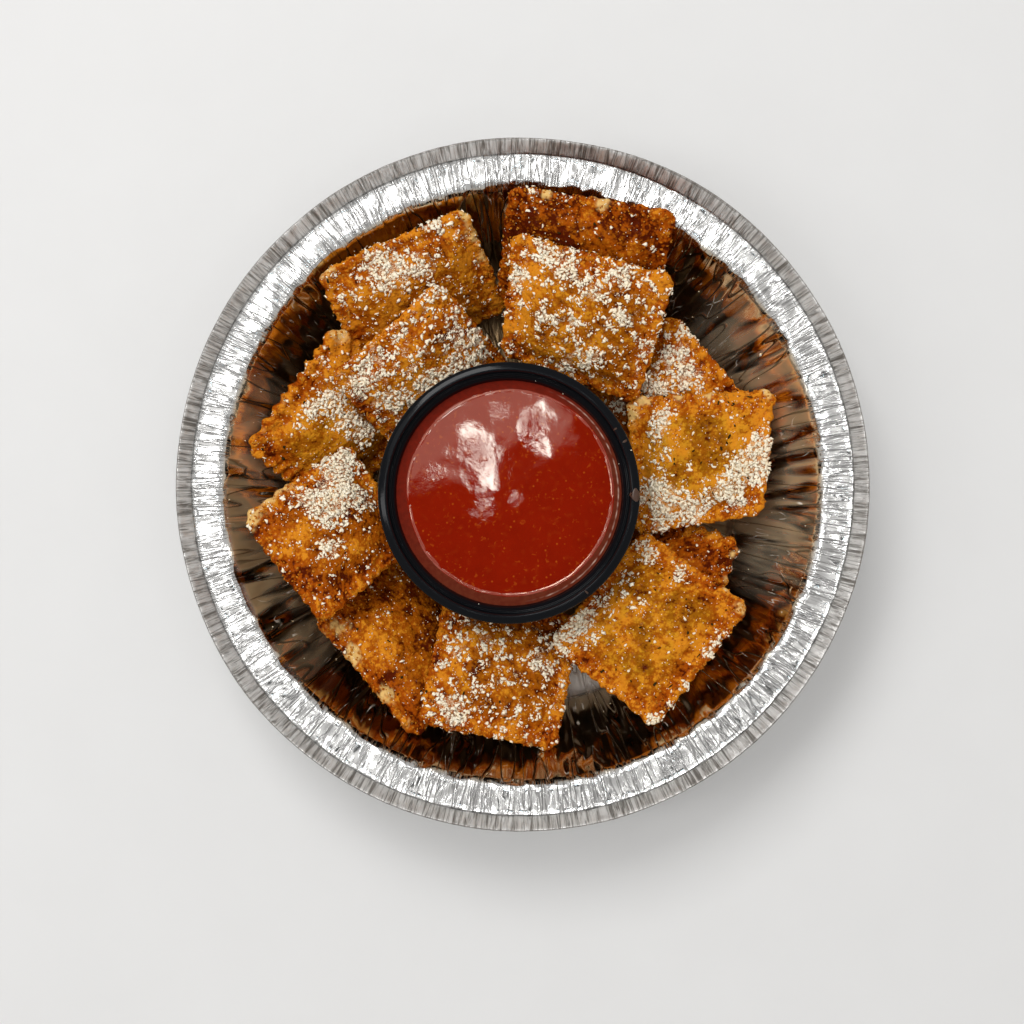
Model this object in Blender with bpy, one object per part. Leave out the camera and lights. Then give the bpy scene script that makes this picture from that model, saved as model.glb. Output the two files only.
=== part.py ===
"""Breaded ravioli in a round foil pan, leaning around a cup of tomato sauce.

The origin is the centre of the pan's base, which rests on z = 0. Lengths are in millimetres
up to the last step, which writes each mesh in metres.
"""

import math

import bmesh
import bpy
from mathutils import Matrix, Vector

MM = 0.001
GAP = 0.3  # clear space left between two pieces that touch
WELD = 0.01  # points of a turned shape closer than this are one point

# Pan: pressed foil, with a flat base, a sloping wall, a flat ledge and a flared lip
PAN_SIDES = 48
PAN_RADIUS = 100.0
PAN_HEIGHT = 46.0
FOIL = 0.6
BASE_RADIUS = 64.5
CORNER_RADIUS = 68.4
CORNER_HEIGHT = 3.4
LEDGE_RADIUS = 87.2
LEDGE_HEIGHT = 42.0
CREASE_RADIUS = 95.8
HEM_RADIUS = 0.8  # half the thickness of the rolled edge

# Sauce cup: black plastic, off the pan's centre, with a rolled rim and a stacking step
CUP_SIDES = 40
CUP_X = -4.0
CUP_Y = -2.4
CUP_BASE = FOIL + GAP
CUP_TOP = 46.5
CUP_WALL = 0.8
CUP_FOOT_RADIUS = 25.0
CUP_RIM_RADIUS = 37.8
STEP_HEIGHT = 41.4
STEP_INNER_RADIUS = 33.3
STEP_OUTER_RADIUS = 34.9
FLANGE_HEIGHT = 44.4
SAUCE_LEVEL = 39.5

# Ravioli: a filled middle inside a thin crimped border
EDGE_THICKNESS = 2.6
BODY_THICKNESS = 11.0
BORDER_WIDTH = 4.2
SHOULDER_WIDTH = 8.0
CROWN_WIDTH = 13.0
CORNER_ROUND = 3.0
CRIMPS = 36
CRIMP_DEPTH = 0.7
BORDER_POINTS = 28
SHOULDER_POINTS = 20
CROWN_POINTS = 12
BOW = 0.7  # how far the middle of a side rises or dips
TWIST = 0.6  # how far the corners are turned out of flat
BREADING = (0.42, 0.17, 0.025)

# Where each one lies. Around and facing are degrees seen from above, counted from +X
# towards +Y. Around, out and up place its middle, and facing is where its outer edge
# points. Lean lifts the outer edge, and roll lifts the edge on its left. Wide runs along the
# outer edge and deep across it. Tucks pull its corners in: outer right, outer left, inner
# left, inner right.
RAVIOLI = {
    # name: (around, out, up, facing, lean, roll, wide, deep, tucks)
    "ravioli_01": (119, 66.0, 25.5, 113, 43, 5, 48, 41, (1, 0, 0, 0)),
    "ravioli_02": (131, 45.5, 25.0, 131, 42, 2, 43, 41, (1, 0, 0, 0)),
    "ravioli_03": (161, 58.5, 20.0, 142, 38, 3, 45, 41, (0, 0, 0, 0)),
    "ravioli_04": (194, 57.0, 32.5, 217, 27, 0, 38, 41, (0, 0, 2, 0)),
    "ravioli_05": (234, 57.5, 18.5, 219, 36, 1, 46, 41, (0, 0, 0, 0)),
    "ravioli_06": (263, 55.5, 24.5, 260, 17, -8, 42, 41, (0, 0, 0, 1)),
    "ravioli_07": (312, 56.0, 29.0, 322, 14, -1, 45, 40, (0, 0, 1, 0)),
    "ravioli_08": (325, 52.0, 14.0, 340, 31, 0, 41, 41, (1, 1, 0, 0)),
    "ravioli_09": (7, 54.5, 27.0, 2, 18, 3, 41, 44, (5, 0, 0, 0)),
    "ravioli_10": (26, 51.5, 14.5, 40, 30, 0, 45, 41, (0, 0, 0, 0)),
    "ravioli_11": (72, 51.0, 34.0, 75, 29, 1, 48, 42, (0, 0, 5, 0)),
    "ravioli_12": (75, 69.5, 32.5, 82, 45, -4, 48, 42, (0, 0, 0, 0)),
}


def material(name, colour, roughness, metallic=0.0):
    """A material with one plain shader."""
    made = bpy.data.materials.new(name)
    made.use_nodes = True
    shader = made.node_tree.nodes["Principled BSDF"]
    shader.inputs["Base Color"].default_value = (*colour, 1.0)
    shader.inputs["Roughness"].default_value = roughness
    shader.inputs["Metallic"].default_value = metallic
    return made


def add_object(name, bm, finish, place=Matrix()):
    """Writes the mesh in metres as one named object, and puts it in its place."""
    bmesh.ops.recalc_face_normals(bm, faces=bm.faces)
    bmesh.ops.scale(bm, vec=Vector((MM, MM, MM)), verts=bm.verts)
    mesh = bpy.data.meshes.new(name)
    bm.to_mesh(mesh)
    bm.free()
    mesh.shade_smooth()
    mesh.set_sharp_from_angle(angle=math.radians(40))
    mesh.materials.append(finish)
    made = bpy.data.objects.new(name, mesh)
    bpy.context.scene.collection.objects.link(made)
    place = place.copy()
    place.translation *= MM
    made.matrix_world = place
    return made


def turned(profile, sides):
    """Spins an open profile of (radius, height) about Z. Its two ends lie on the axis."""
    bm = bmesh.new()
    points = [bm.verts.new((radius, 0, height)) for radius, height in profile]
    lines = [bm.edges.new(pair) for pair in zip(points, points[1:])]
    bmesh.ops.spin(
        bm, geom=points + lines, axis=(0, 0, 1), cent=(0, 0, 0), angle=math.tau, steps=sides, use_merge=True
    )
    bmesh.ops.remove_doubles(bm, verts=bm.verts, dist=WELD)
    return bm


def add_pan():
    """The pan: its outer side from the base up to the rolled hem, then its inner side."""
    profile = [
        (0, 0),
        (BASE_RADIUS, 0),
        (BASE_RADIUS + 2.4, 0.7),
        (CORNER_RADIUS + FOIL, CORNER_HEIGHT),
        (LEDGE_RADIUS + FOIL, LEDGE_HEIGHT - 1.2),
        (LEDGE_RADIUS + 1.4, LEDGE_HEIGHT - FOIL),
        (CREASE_RADIUS + 0.4, LEDGE_HEIGHT - FOIL),
        (PAN_RADIUS - HEM_RADIUS, PAN_HEIGHT - 2 * HEM_RADIUS),
        (PAN_RADIUS, PAN_HEIGHT - HEM_RADIUS),
        (PAN_RADIUS - HEM_RADIUS, PAN_HEIGHT),
        (PAN_RADIUS - 2 * HEM_RADIUS, PAN_HEIGHT - HEM_RADIUS),
        (CREASE_RADIUS, LEDGE_HEIGHT),
        (LEDGE_RADIUS + 0.6, LEDGE_HEIGHT),
        (LEDGE_RADIUS - 0.3, LEDGE_HEIGHT - 0.8),
        (CORNER_RADIUS, CORNER_HEIGHT),
        (BASE_RADIUS + 2.0, 1.3),
        (BASE_RADIUS, FOIL),
        (0, FOIL),
    ]
    return add_object("pan", turned(profile, PAN_SIDES), material("foil", (0.78, 0.78, 0.77), 0.3, 1.0))


def cup_inner_radius(height):
    """The radius of the cup's inner wall at a height below the stacking step."""
    low = CUP_BASE + 2 * CUP_WALL
    share = (height - low) / (STEP_HEIGHT - low)
    foot = CUP_FOOT_RADIUS - CUP_WALL
    return foot + share * (STEP_INNER_RADIUS - foot)


def add_cup():
    """The cup: its outer side from the foot up to the rolled rim, then its inner side."""
    profile = [
        (0, CUP_BASE),
        (CUP_FOOT_RADIUS - 1.0, CUP_BASE),
        (CUP_FOOT_RADIUS, CUP_BASE + 1.2),
        (STEP_INNER_RADIUS + CUP_WALL, STEP_HEIGHT - 0.8),
        (STEP_OUTER_RADIUS + CUP_WALL, STEP_HEIGHT),
        (STEP_OUTER_RADIUS + CUP_WALL, FLANGE_HEIGHT),
        (CUP_RIM_RADIUS - 0.3, FLANGE_HEIGHT),
        (CUP_RIM_RADIUS, CUP_TOP - 1.0),
        (CUP_RIM_RADIUS - 0.6, CUP_TOP - 0.2),
        (CUP_RIM_RADIUS - 1.4, CUP_TOP),
        (STEP_OUTER_RADIUS + 0.2, CUP_TOP - 0.8),
        (STEP_OUTER_RADIUS, STEP_HEIGHT + 0.8),
        (STEP_INNER_RADIUS, STEP_HEIGHT),
        (CUP_FOOT_RADIUS - CUP_WALL, CUP_BASE + 2 * CUP_WALL),
        (CUP_FOOT_RADIUS - 2.0, CUP_BASE + CUP_WALL),
        (0, CUP_BASE + CUP_WALL),
    ]
    plastic = material("black_plastic", (0.012, 0.013, 0.015), 0.3)
    return add_object("cup", turned(profile, CUP_SIDES), plastic, Matrix.Translation((CUP_X, CUP_Y, 0)))


def add_sauce():
    """The sauce: it fills the cup to its level, with a gap inside the wall."""
    low = CUP_BASE + CUP_WALL + GAP
    profile = [
        (0, low),
        (CUP_FOOT_RADIUS - 2.4, low),
        (CUP_FOOT_RADIUS - CUP_WALL - GAP, CUP_BASE + 2 * CUP_WALL + GAP),
        (cup_inner_radius(SAUCE_LEVEL) - GAP, SAUCE_LEVEL - 0.3),
        (cup_inner_radius(SAUCE_LEVEL) - 1.6, SAUCE_LEVEL - 0.1),
        (0, SAUCE_LEVEL),
    ]
    red = material("tomato_sauce", (0.25, 0.012, 0.003), 0.18)
    return add_object("sauce", turned(profile, CUP_SIDES), red, Matrix.Translation((CUP_X, CUP_Y, 0)))


def rounded_ring(half_x, half_y, radius, count):
    """Evenly spaced points round a rectangle with rounded corners, from the middle of +X."""
    straight_x = half_x - radius
    straight_y = half_y - radius
    arc = radius * math.pi / 2
    quarter_length = straight_x + straight_y + arc
    points = []
    for step in range(count):
        quarter, along = divmod(4 * quarter_length * step / count, quarter_length)
        before, after = (straight_y, straight_x) if quarter % 2 == 0 else (straight_x, straight_y)
        if along < before:
            point = Vector((after + radius, along))
        elif along < before + arc:
            angle = (along - before) / radius
            point = Vector((after + radius * math.cos(angle), before + radius * math.sin(angle)))
        else:
            point = Vector((after - (along - before - arc), before + radius))
        points.append(Matrix.Rotation(quarter * math.pi / 2, 2) @ point)
    return points


def join_rings(bm, first, second):
    """Fills the band between two closed rings, which may have different numbers of points."""
    a, b = 0, 0
    while a < len(first) or b < len(second):
        forward_first = (a + 1) * len(second) <= (b + 1) * len(first)
        if forward_first:
            bm.faces.new((first[a], first[(a + 1) % len(first)], second[b % len(second)]))
            a += 1
        else:
            bm.faces.new((first[a % len(first)], second[(b + 1) % len(second)], second[b]))
            b += 1


def warped(point, wide, deep, tucks, number):
    """Pulls a flat pillow's corners in, then bows and twists it a little, each its own way."""
    across = 2 * point.x / deep
    along = 2 * point.y / wide
    for tuck, (side_x, side_y) in zip(tucks, ((1, -1), (1, 1), (-1, 1), (-1, -1))):
        share = max(0.0, 1 + side_x * across) * max(0.0, 1 + side_y * along) / 4
        point = point - tuck * share * Vector((side_x, side_y, 0))
    bow = BOW * math.sin(2.1 * number) * (along * along - 0.5)
    twist = TWIST * math.cos(3.7 * number) * across * along
    return point + Vector((0, 0, bow + twist))


def add_ravioli(name, around, out, up, facing, lean, roll, wide, deep, tucks):
    """One ravioli: rings of points from the crimped edge in to the middle, above and below."""
    number = int(name[-2:])
    bands = (
        (0.0, EDGE_THICKNESS, 2 * CRIMPS),
        (BORDER_WIDTH, EDGE_THICKNESS + 0.4, BORDER_POINTS),
        (SHOULDER_WIDTH, BODY_THICKNESS * 0.76, SHOULDER_POINTS),
        (CROWN_WIDTH, BODY_THICKNESS * 0.96, CROWN_POINTS),
    )
    bm = bmesh.new()
    edges = []
    for face in (0.5, -0.5):
        rings = []
        for inset, thick, count in bands:
            corner = max(CORNER_ROUND, inset * 0.6)
            ring = []
            for step, flat in enumerate(rounded_ring(deep / 2 - inset, wide / 2 - inset, corner, count)):
                if inset == 0 and step % 2:
                    flat = flat * (1 - CRIMP_DEPTH / flat.length)
                point = Vector((flat.x, flat.y, face * thick))
                ring.append(bm.verts.new(warped(point, wide, deep, tucks, number)))
            rings.append(ring)
        for outer, inner in zip(rings, rings[1:]):
            join_rings(bm, outer, inner)
        middle = bm.verts.new(warped(Vector((0, 0, face * BODY_THICKNESS)), wide, deep, tucks, number))
        for here, after in zip(rings[-1], rings[-1][1:] + rings[-1][:1]):
            bm.faces.new((here, after, middle))
        edges.append(rings[0])
    join_rings(bm, *edges)
    place = (
        Matrix.Rotation(math.radians(around), 4, "Z")
        @ Matrix.Translation((out, 0, up))
        @ Matrix.Rotation(math.radians(facing - around), 4, "Z")
        @ Matrix.Rotation(math.radians(-lean), 4, "Y")
        @ Matrix.Rotation(math.radians(roll), 4, "X")
    )
    shade = 1 + 0.12 * math.sin(1.7 * number)
    crust = material(name, [channel * shade for channel in BREADING], 0.7)
    return add_object(name, bm, crust, place)


for leftover in list(bpy.data.objects):
    bpy.data.objects.remove(leftover)

add_pan()
add_cup()
add_sauce()
for ravioli_name, placing in RAVIOLI.items():
    add_ravioli(ravioli_name, *placing)
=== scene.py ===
# %% [markdown]
# # Breaded ravioli in a foil pan, around a cup of tomato sauce
#
# Twelve fried ravioli lean in a ring between the wall of a pressed foil pan and a black
# plastic cup of sauce, under a heavy sprinkle of grated cheese. The solids that give every
# piece its size and place are already made, and they come in first as a fixed frame. What
# follows gives each of them the surface of the real thing.

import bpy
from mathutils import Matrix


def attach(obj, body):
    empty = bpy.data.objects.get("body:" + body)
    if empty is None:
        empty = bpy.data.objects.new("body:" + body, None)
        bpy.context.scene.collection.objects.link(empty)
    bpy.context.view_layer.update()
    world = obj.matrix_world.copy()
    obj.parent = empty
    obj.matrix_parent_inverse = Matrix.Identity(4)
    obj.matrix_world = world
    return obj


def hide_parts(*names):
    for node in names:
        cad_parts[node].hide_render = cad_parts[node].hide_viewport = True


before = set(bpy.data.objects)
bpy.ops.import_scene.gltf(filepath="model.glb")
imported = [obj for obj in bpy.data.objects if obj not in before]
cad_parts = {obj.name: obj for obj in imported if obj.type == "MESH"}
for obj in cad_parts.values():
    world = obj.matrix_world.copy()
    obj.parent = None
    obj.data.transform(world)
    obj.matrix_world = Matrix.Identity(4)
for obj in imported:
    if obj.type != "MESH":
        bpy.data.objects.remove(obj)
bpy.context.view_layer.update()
print("frame:", len(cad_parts), "solids")

# %% Tools from Blender and Python
import math
import random

import bmesh
import bpy
import numpy as np
from mathutils import Matrix, Vector, noise
from mathutils.bvhtree import BVHTree

MM = 0.001  # one millimetre in metres: shapes are worked in millimetres, then scaled

# %% [markdown]
# ## Finishing a piece
#
# Every piece ends the same way. Its doubled points are merged, its faces turned outwards and
# its millimetres scaled to metres, so the object itself stays at the origin, unturned. Then
# it is told which body it rides on, and the plain solid it stands for is hidden.

# %% Write a mesh as a finished piece
WELD = 0.004  # points closer than this are one point


def finish_piece(name, bm, finish, stands_for=None):
    """Writes a mesh made in millimetres as one smooth piece that rides with the pan."""
    bmesh.ops.remove_doubles(bm, verts=bm.verts, dist=WELD)
    bmesh.ops.recalc_face_normals(bm, faces=bm.faces)
    bmesh.ops.scale(bm, vec=Vector((MM, MM, MM)), verts=bm.verts)
    mesh = bpy.data.meshes.new(name)
    bm.to_mesh(mesh)
    bm.free()
    return place_piece(name, mesh, finish, stands_for)


def place_piece(name, mesh, finish, stands_for=None):
    """Shows a finished mesh as a piece on its body, and hides the plain solid it stands for."""
    mesh.shade_smooth()
    mesh.materials.append(finish)
    piece = bpy.data.objects.new(name, mesh)
    bpy.context.scene.collection.objects.link(piece)
    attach(piece, "root")
    if stands_for:
        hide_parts(stands_for)
    mesh.calc_loop_triangles()
    print(f"{name}: {len(mesh.loop_triangles)} triangles")
    return piece


# %% [markdown]
# ## Writing materials as sums
#
# A material is a net of nodes, and long sums of nodes are hard to read. Here a value in a
# material is wrapped in a small class that knows how to add and multiply, so that `1 - mask`
# adds the Math node for it. Colours are never added that way, since a Math node would turn
# them grey: they go through a Mix node.

# %% A value in a material, and the recipe that holds it
class Amount:
    """A socket of a material that can be used in a sum."""

    def __init__(self, recipe, socket):
        self.recipe = recipe
        self.socket = socket

    def __add__(self, other):
        return self.recipe.math("ADD", self, other)

    def __sub__(self, other):
        return self.recipe.math("SUBTRACT", self, other)

    def __rsub__(self, other):
        return self.recipe.math("SUBTRACT", other, self)

    def __mul__(self, other):
        return self.recipe.math("MULTIPLY", self, other)

    __radd__ = __add__
    __rmul__ = __mul__


class Recipe:
    """A material being written: its nodes, and short ways to add the ones used here."""

    def __init__(self, name, roughness=0.5, metallic=0.0):
        self.material = bpy.data.materials.new(name)
        self.material.use_nodes = True
        self.tree = self.material.node_tree
        self.shader = self.tree.nodes["Principled BSDF"]
        self.set_input(self.shader, "Roughness", roughness)
        self.set_input(self.shader, "Metallic", metallic)

    def set_input(self, node, key, value):
        """Links an Amount to a socket, or writes a plain value on it."""
        socket = node.inputs[key]
        if isinstance(value, Amount):
            self.tree.links.new(value.socket, socket)
        elif isinstance(value, tuple) and len(value) == 3 and socket.type == "RGBA":
            socket.default_value = (*value, 1.0)
        else:
            socket.default_value = value

    def node(self, kind, settings=None, inputs=None, output=0):
        """Adds a node: first its settings, then its sockets. Gives one of its outputs."""
        node = self.tree.nodes.new(kind)
        for key, value in (settings or {}).items():
            setattr(node, key, value)
        for key, value in (inputs or {}).items():
            self.set_input(node, key, value)
        return Amount(self, node.outputs[output])

    def math(self, operation, first, second=0.0):
        """Adds a Math node, which works on two numbers."""
        return self.node("ShaderNodeMath", {"operation": operation}, {0: first, 1: second})

    def vector(self, operation, first, second=(0.0, 0.0, 0.0), output=0):
        """Adds a Vector Math node, which works on places and directions."""
        inputs = {0: first, 1: second}
        return self.node("ShaderNodeVectorMath", {"operation": operation}, inputs, output)

    def places(self):
        """Where each point is, in millimetres."""
        spot = self.node("ShaderNodeTexCoord", output="Object")
        return self.vector("MULTIPLY", spot, (1000.0, 1000.0, 1000.0))

    def mottle(self, size, spot, detail=3.0, roughness=0.55, distortion=0.0):
        """Soft cloudy variation with patches of about one size, in millimetres."""
        inputs = {
            "Vector": spot,
            "Scale": 1.0 / size,
            "Detail": detail,
            "Roughness": roughness,
            "Distortion": distortion,
        }
        return self.node("ShaderNodeTexNoise", {}, inputs)

    def grains(self, size, spot):
        """Distance from the middle of the nearest of many scattered grains."""
        return self.node("ShaderNodeTexVoronoi", {}, {"Vector": spot, "Scale": 1.0 / size})

    def between(self, value, low, high):
        """Eases from 0 to 1 as the value goes from low to high, where low may be the larger."""
        inputs = {"Value": value, "From Min": low, "From Max": high}
        return self.node("ShaderNodeMapRange", {"interpolation_type": "SMOOTHSTEP"}, inputs)

    def thin_line(self, mottle, width, core=0.0):
        """A wandering line where a mottle passes its middle value, fading out from its core."""
        return self.between(self.math("ABSOLUTE", mottle - 0.5), width, core)

    def painted(self, name):
        """A value painted on the points of the mesh."""
        return self.node("ShaderNodeAttribute", {"attribute_name": name}, output="Fac")

    def blend(self, share, first, second):
        """One colour, then the other as share goes from 0 to 1."""
        inputs = {0: share, 6: first, 7: second}
        return self.node("ShaderNodeMix", {"data_type": "RGBA"}, inputs, output=2)

    def relief(self, height, depth, strength=1.0, over=None):
        """Fine unevenness of one depth in millimetres, on top of another relief if given."""
        inputs = {"Height": height, "Distance": depth * MM, "Strength": strength}
        if over is not None:
            inputs["Normal"] = over
        return self.node("ShaderNodeBump", {}, inputs)

    def feed(self, **inputs):
        """Feeds the shader, and gives the finished material."""
        for key, value in inputs.items():
            self.set_input(self.shader, key.replace("_", " "), value)
        return self.material


# %% [markdown]
# ## Turning round shapes
#
# The pan, the cup and the sauce are round, so each starts as a line of points, from the axis
# out and back to it, that is spun a full turn. `use_merge` joins the last step to the first.
# A long straight stretch of the line is given many points, so that there is something to bend.

# %% Spin a profile about the upright axis
def turned(profile, steps, centre=(0.0, 0.0)):
    """Spins a line of (radius, height) points about an upright axis through centre."""
    bm = bmesh.new()
    points = [bm.verts.new((radius, 0, height)) for radius, height in profile]
    lines = [bm.edges.new(pair) for pair in zip(points, points[1:])]
    bmesh.ops.spin(
        bm,
        geom=points + lines,
        axis=(0, 0, 1),
        cent=(0, 0, 0),
        angle=math.tau,
        steps=steps,
        use_merge=True,
    )
    bmesh.ops.remove_doubles(bm, verts=bm.verts, dist=WELD)
    bmesh.ops.translate(bm, vec=Vector((*centre, 0)), verts=bm.verts)
    return bm


def spread(start, end, count):
    """Points from start towards end, evenly spaced, without the last one."""
    return [
        tuple(first + (last - first) * step / count for first, last in zip(start, end))
        for step in range(count)
    ]


# %% [markdown]
# ## Making things uneven
#
# Nothing in this meal is smooth. Blender's noise gives soft random hills, the same ones every
# time for the same place, so the script always makes the same pan of food. Hills of two or
# three sizes are usually added together, and a number at the end picks a fresh set of them.
# A smooth step keeps them to the part of a piece where they belong.

# %% A smooth step and random hills
def ease(value, low, high):
    """0 below low, 1 above high, and a smooth rise between them."""
    share = min(1.0, max(0.0, (value - low) / (high - low)))
    return share * share * (3 - 2 * share)


def hills(x, y, size, pattern):
    """The height of soft hills about one size across, from about -1 to 1."""
    return noise.noise((x / size, y / size, pattern))


def hills_round(angle, tightness, pattern):
    """The same round a circle, where the last hill meets the first."""
    return noise.noise((tightness * math.cos(angle), tightness * math.sin(angle), pattern))


# %% [markdown]
# ## The foil pan
#
# A foil pan is one thin sheet pressed between two dies. The sheet has too much metal to fit
# the smaller circle, so it folds into hundreds of small radial pleats: fine and crowded on the
# flat ledge, longer and wavier down the wall. Those pleats could be painted on as bump alone,
# but then the ledge's edge would be a clean circle. So the profile is spun in small steps,
# and every point is moved by the folds that the next cell works out. Bump is left for the
# hair-thin creases.

# %% The pan's profile
PAN_RADIUS = 100.0
PAN_HEIGHT = 46.0
FOIL = 0.6  # the sheet's thickness, with its folds
BASE_RADIUS = 64.5
CORNER_RADIUS = 68.4
CORNER_HEIGHT = 3.4
LEDGE_RADIUS = 87.2
LEDGE_HEIGHT = 42.0
CREASE_RADIUS = 95.8
PAN_STEPS = 1560

pan_inside = (
    spread((0.0, FOIL), (BASE_RADIUS, FOIL), 5)
    + [(BASE_RADIUS, FOIL), (BASE_RADIUS + 1.3, FOIL + 0.25), (BASE_RADIUS + 2.6, 1.5)]
    + spread((CORNER_RADIUS, CORNER_HEIGHT), (LEDGE_RADIUS - 0.5, LEDGE_HEIGHT - 1.2), 18)
    + [(LEDGE_RADIUS - 0.4, LEDGE_HEIGHT - 1.0), (LEDGE_RADIUS, LEDGE_HEIGHT - 0.35)]
    + spread((LEDGE_RADIUS + 0.6, LEDGE_HEIGHT), (CREASE_RADIUS - 0.4, LEDGE_HEIGHT), 6)
    + [(CREASE_RADIUS - 0.3, LEDGE_HEIGHT), (CREASE_RADIUS + 0.1, LEDGE_HEIGHT + 0.25)]
    + spread((CREASE_RADIUS + 0.5, LEDGE_HEIGHT + 0.75), (PAN_RADIUS - 0.7, PAN_HEIGHT - 0.2), 5)
    + [(PAN_RADIUS - 0.65, PAN_HEIGHT - 0.12), (PAN_RADIUS - 0.4, PAN_HEIGHT)]
    + [(PAN_RADIUS - 0.15, PAN_HEIGHT - 0.35)]
)
pan_outside = (
    [(PAN_RADIUS, PAN_HEIGHT - 0.8), (PAN_RADIUS - 0.2, PAN_HEIGHT - 1.4)]
    + [(PAN_RADIUS - 0.7, PAN_HEIGHT - 1.6)]
    + [(CREASE_RADIUS + 0.7, LEDGE_HEIGHT - 0.1), (CREASE_RADIUS, LEDGE_HEIGHT - FOIL)]
    + [(LEDGE_RADIUS + 4.5, LEDGE_HEIGHT - FOIL), (LEDGE_RADIUS + 1.4, LEDGE_HEIGHT - FOIL)]
    + spread((LEDGE_RADIUS + FOIL, LEDGE_HEIGHT - 1.4), (CORNER_RADIUS + FOIL, CORNER_HEIGHT), 6)
    + [(CORNER_RADIUS + FOIL, CORNER_HEIGHT), (BASE_RADIUS + 2.4, 0.7), (BASE_RADIUS, 0.0), (0.0, 0.0)]
)
pan_mesh = turned(pan_inside + pan_outside, PAN_STEPS)
print("pan profile:", len(pan_inside + pan_outside), "points")

# %% [markdown]
# Pleats are flat strips between sharp creases, so plain noise, which is all soft hills, isn't
# enough. Here the circle is cut into a whole number of strips, each crease gets its own height
# that changes slowly along it, and the strip between two creases is straight. Swaying the
# angle first makes the creases wander.

# %% One set of pleats
def pleats(angle, along, count, shift, length):
    """Height of a sheet folded into count strips: straight between creases of uneven height."""
    uneven = hills_round(angle, count / math.tau / 3, along / length + shift)
    place = (angle / math.tau * count + 0.9 * uneven) % count
    first = int(place)
    share = place - first
    heights = []
    for crease in (first, (first + 1) % count):
        lift = noise.noise((crease * 1.37 + 0.5, along / length + 0.5, shift + 0.5))
        heights.append((0.12 if crease % 2 else -0.12) + 1.2 * lift)
    return heights[0] * (1 - share) + heights[1] * share


# %% [markdown]
# Three sets of pleats share the pan: broad and fine ones on the wall and the ledge, and very
# fine ones on the lip. On the wall they push the sheet in and out, on the ledge and the lip
# up and down, and where wall and ledge meet they make the edge serrated. Shallow dents, a
# centimetre or so across, are pressed everywhere but near the top of the wall.
#
# Only the inside is oily, so each point that faces up is painted as inside here.

# %% Press the pleats into the pan
BROAD_PLEATS = 150
FINE_PLEATS = 270
RIM_PLEATS = 400


def pleated(point):
    """Where a point of the smooth pan goes once the sheet is creased."""
    radius = math.hypot(point.x, point.y)
    if radius < 1 or point.z < 0.3:
        return point
    angle = math.atan2(point.y, point.x)
    under_ledge = 1 - ease(radius, LEDGE_RADIUS - 0.6, LEDGE_RADIUS + 1.2)
    on_wall = ease(radius, BASE_RADIUS, CORNER_RADIUS) * under_ledge
    on_lip = ease(radius, CREASE_RADIUS - 0.3, CREASE_RADIUS + 0.6)
    on_ledge = ease(radius, LEDGE_RADIUS - 1.0, LEDGE_RADIUS + 0.8) * (1 - on_lip)
    sway = 0.05 * noise.noise((point.x / 9, point.y / 9, point.z / 9)) * on_wall
    broad = pleats(angle + sway, radius, BROAD_PLEATS, 3.0, 8)
    fine = pleats(angle + sway * 0.5, radius, FINE_PLEATS, 11.0, 5)
    rim = pleats(angle, radius, RIM_PLEATS, 23.0, 2.5)
    dents = noise.noise((point.x / 11, point.y / 11, point.z / 11 + 40))
    hollow = dents * (1 - ease(radius, LEDGE_RADIUS - 9, LEDGE_RADIUS - 2))
    wall = on_wall * (broad + 0.35 * fine + hollow)
    up = on_ledge * (0.3 * broad + 0.55 * fine) + on_lip * (0.3 * rim + 0.15 * broad)
    up += 0.2 * dents * (1 - on_wall) * ease(radius, 0, 20)
    at_edge = on_ledge * (1 - ease(radius, LEDGE_RADIUS, LEDGE_RADIUS + 2.0))
    serrated = at_edge * (0.5 * broad + 0.7 * fine)
    bent = on_lip * 0.4 * ease(radius, 97, PAN_RADIUS) * hills_round(angle, 3, 7)
    push = bent + serrated - wall * 0.8
    x = point.x + push * math.cos(angle)
    y = point.y + push * math.sin(angle)
    return Vector((x, y, point.z + up + wall * 0.4))


for vert in pan_mesh.verts:
    vert.co = pleated(vert.co)
bmesh.ops.recalc_face_normals(pan_mesh, faces=pan_mesh.faces)
pan_mesh.normal_update()
inside_layer = pan_mesh.verts.layers.float.new("inside")
for vert in pan_mesh.verts:
    vert[inside_layer] = float(vert.normal.z > 0)

# %% [markdown]
# ## The foil's finish
#
# Foil is bare aluminium: metallic, with a soft sheen rather than a mirror, because the rolls
# that make it leave fine lines. Its own colour is hardly a colour at all, and nearly everything
# seen in it is a reflection of the food and the light, broken up by the creases.
#
# The finish changes from part to part of the pan, so its recipe starts by working out soft
# masks, each 1 on one part and 0 elsewhere. It also gives the patterns their places: they are
# drawn out from the middle of the pan, because that is how the sheet is stretched and folded.

# %% A recipe that knows its way about the pan
PATTERN_RADIUS = 62.0  # the patterns are true to size round a circle of this radius


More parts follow.
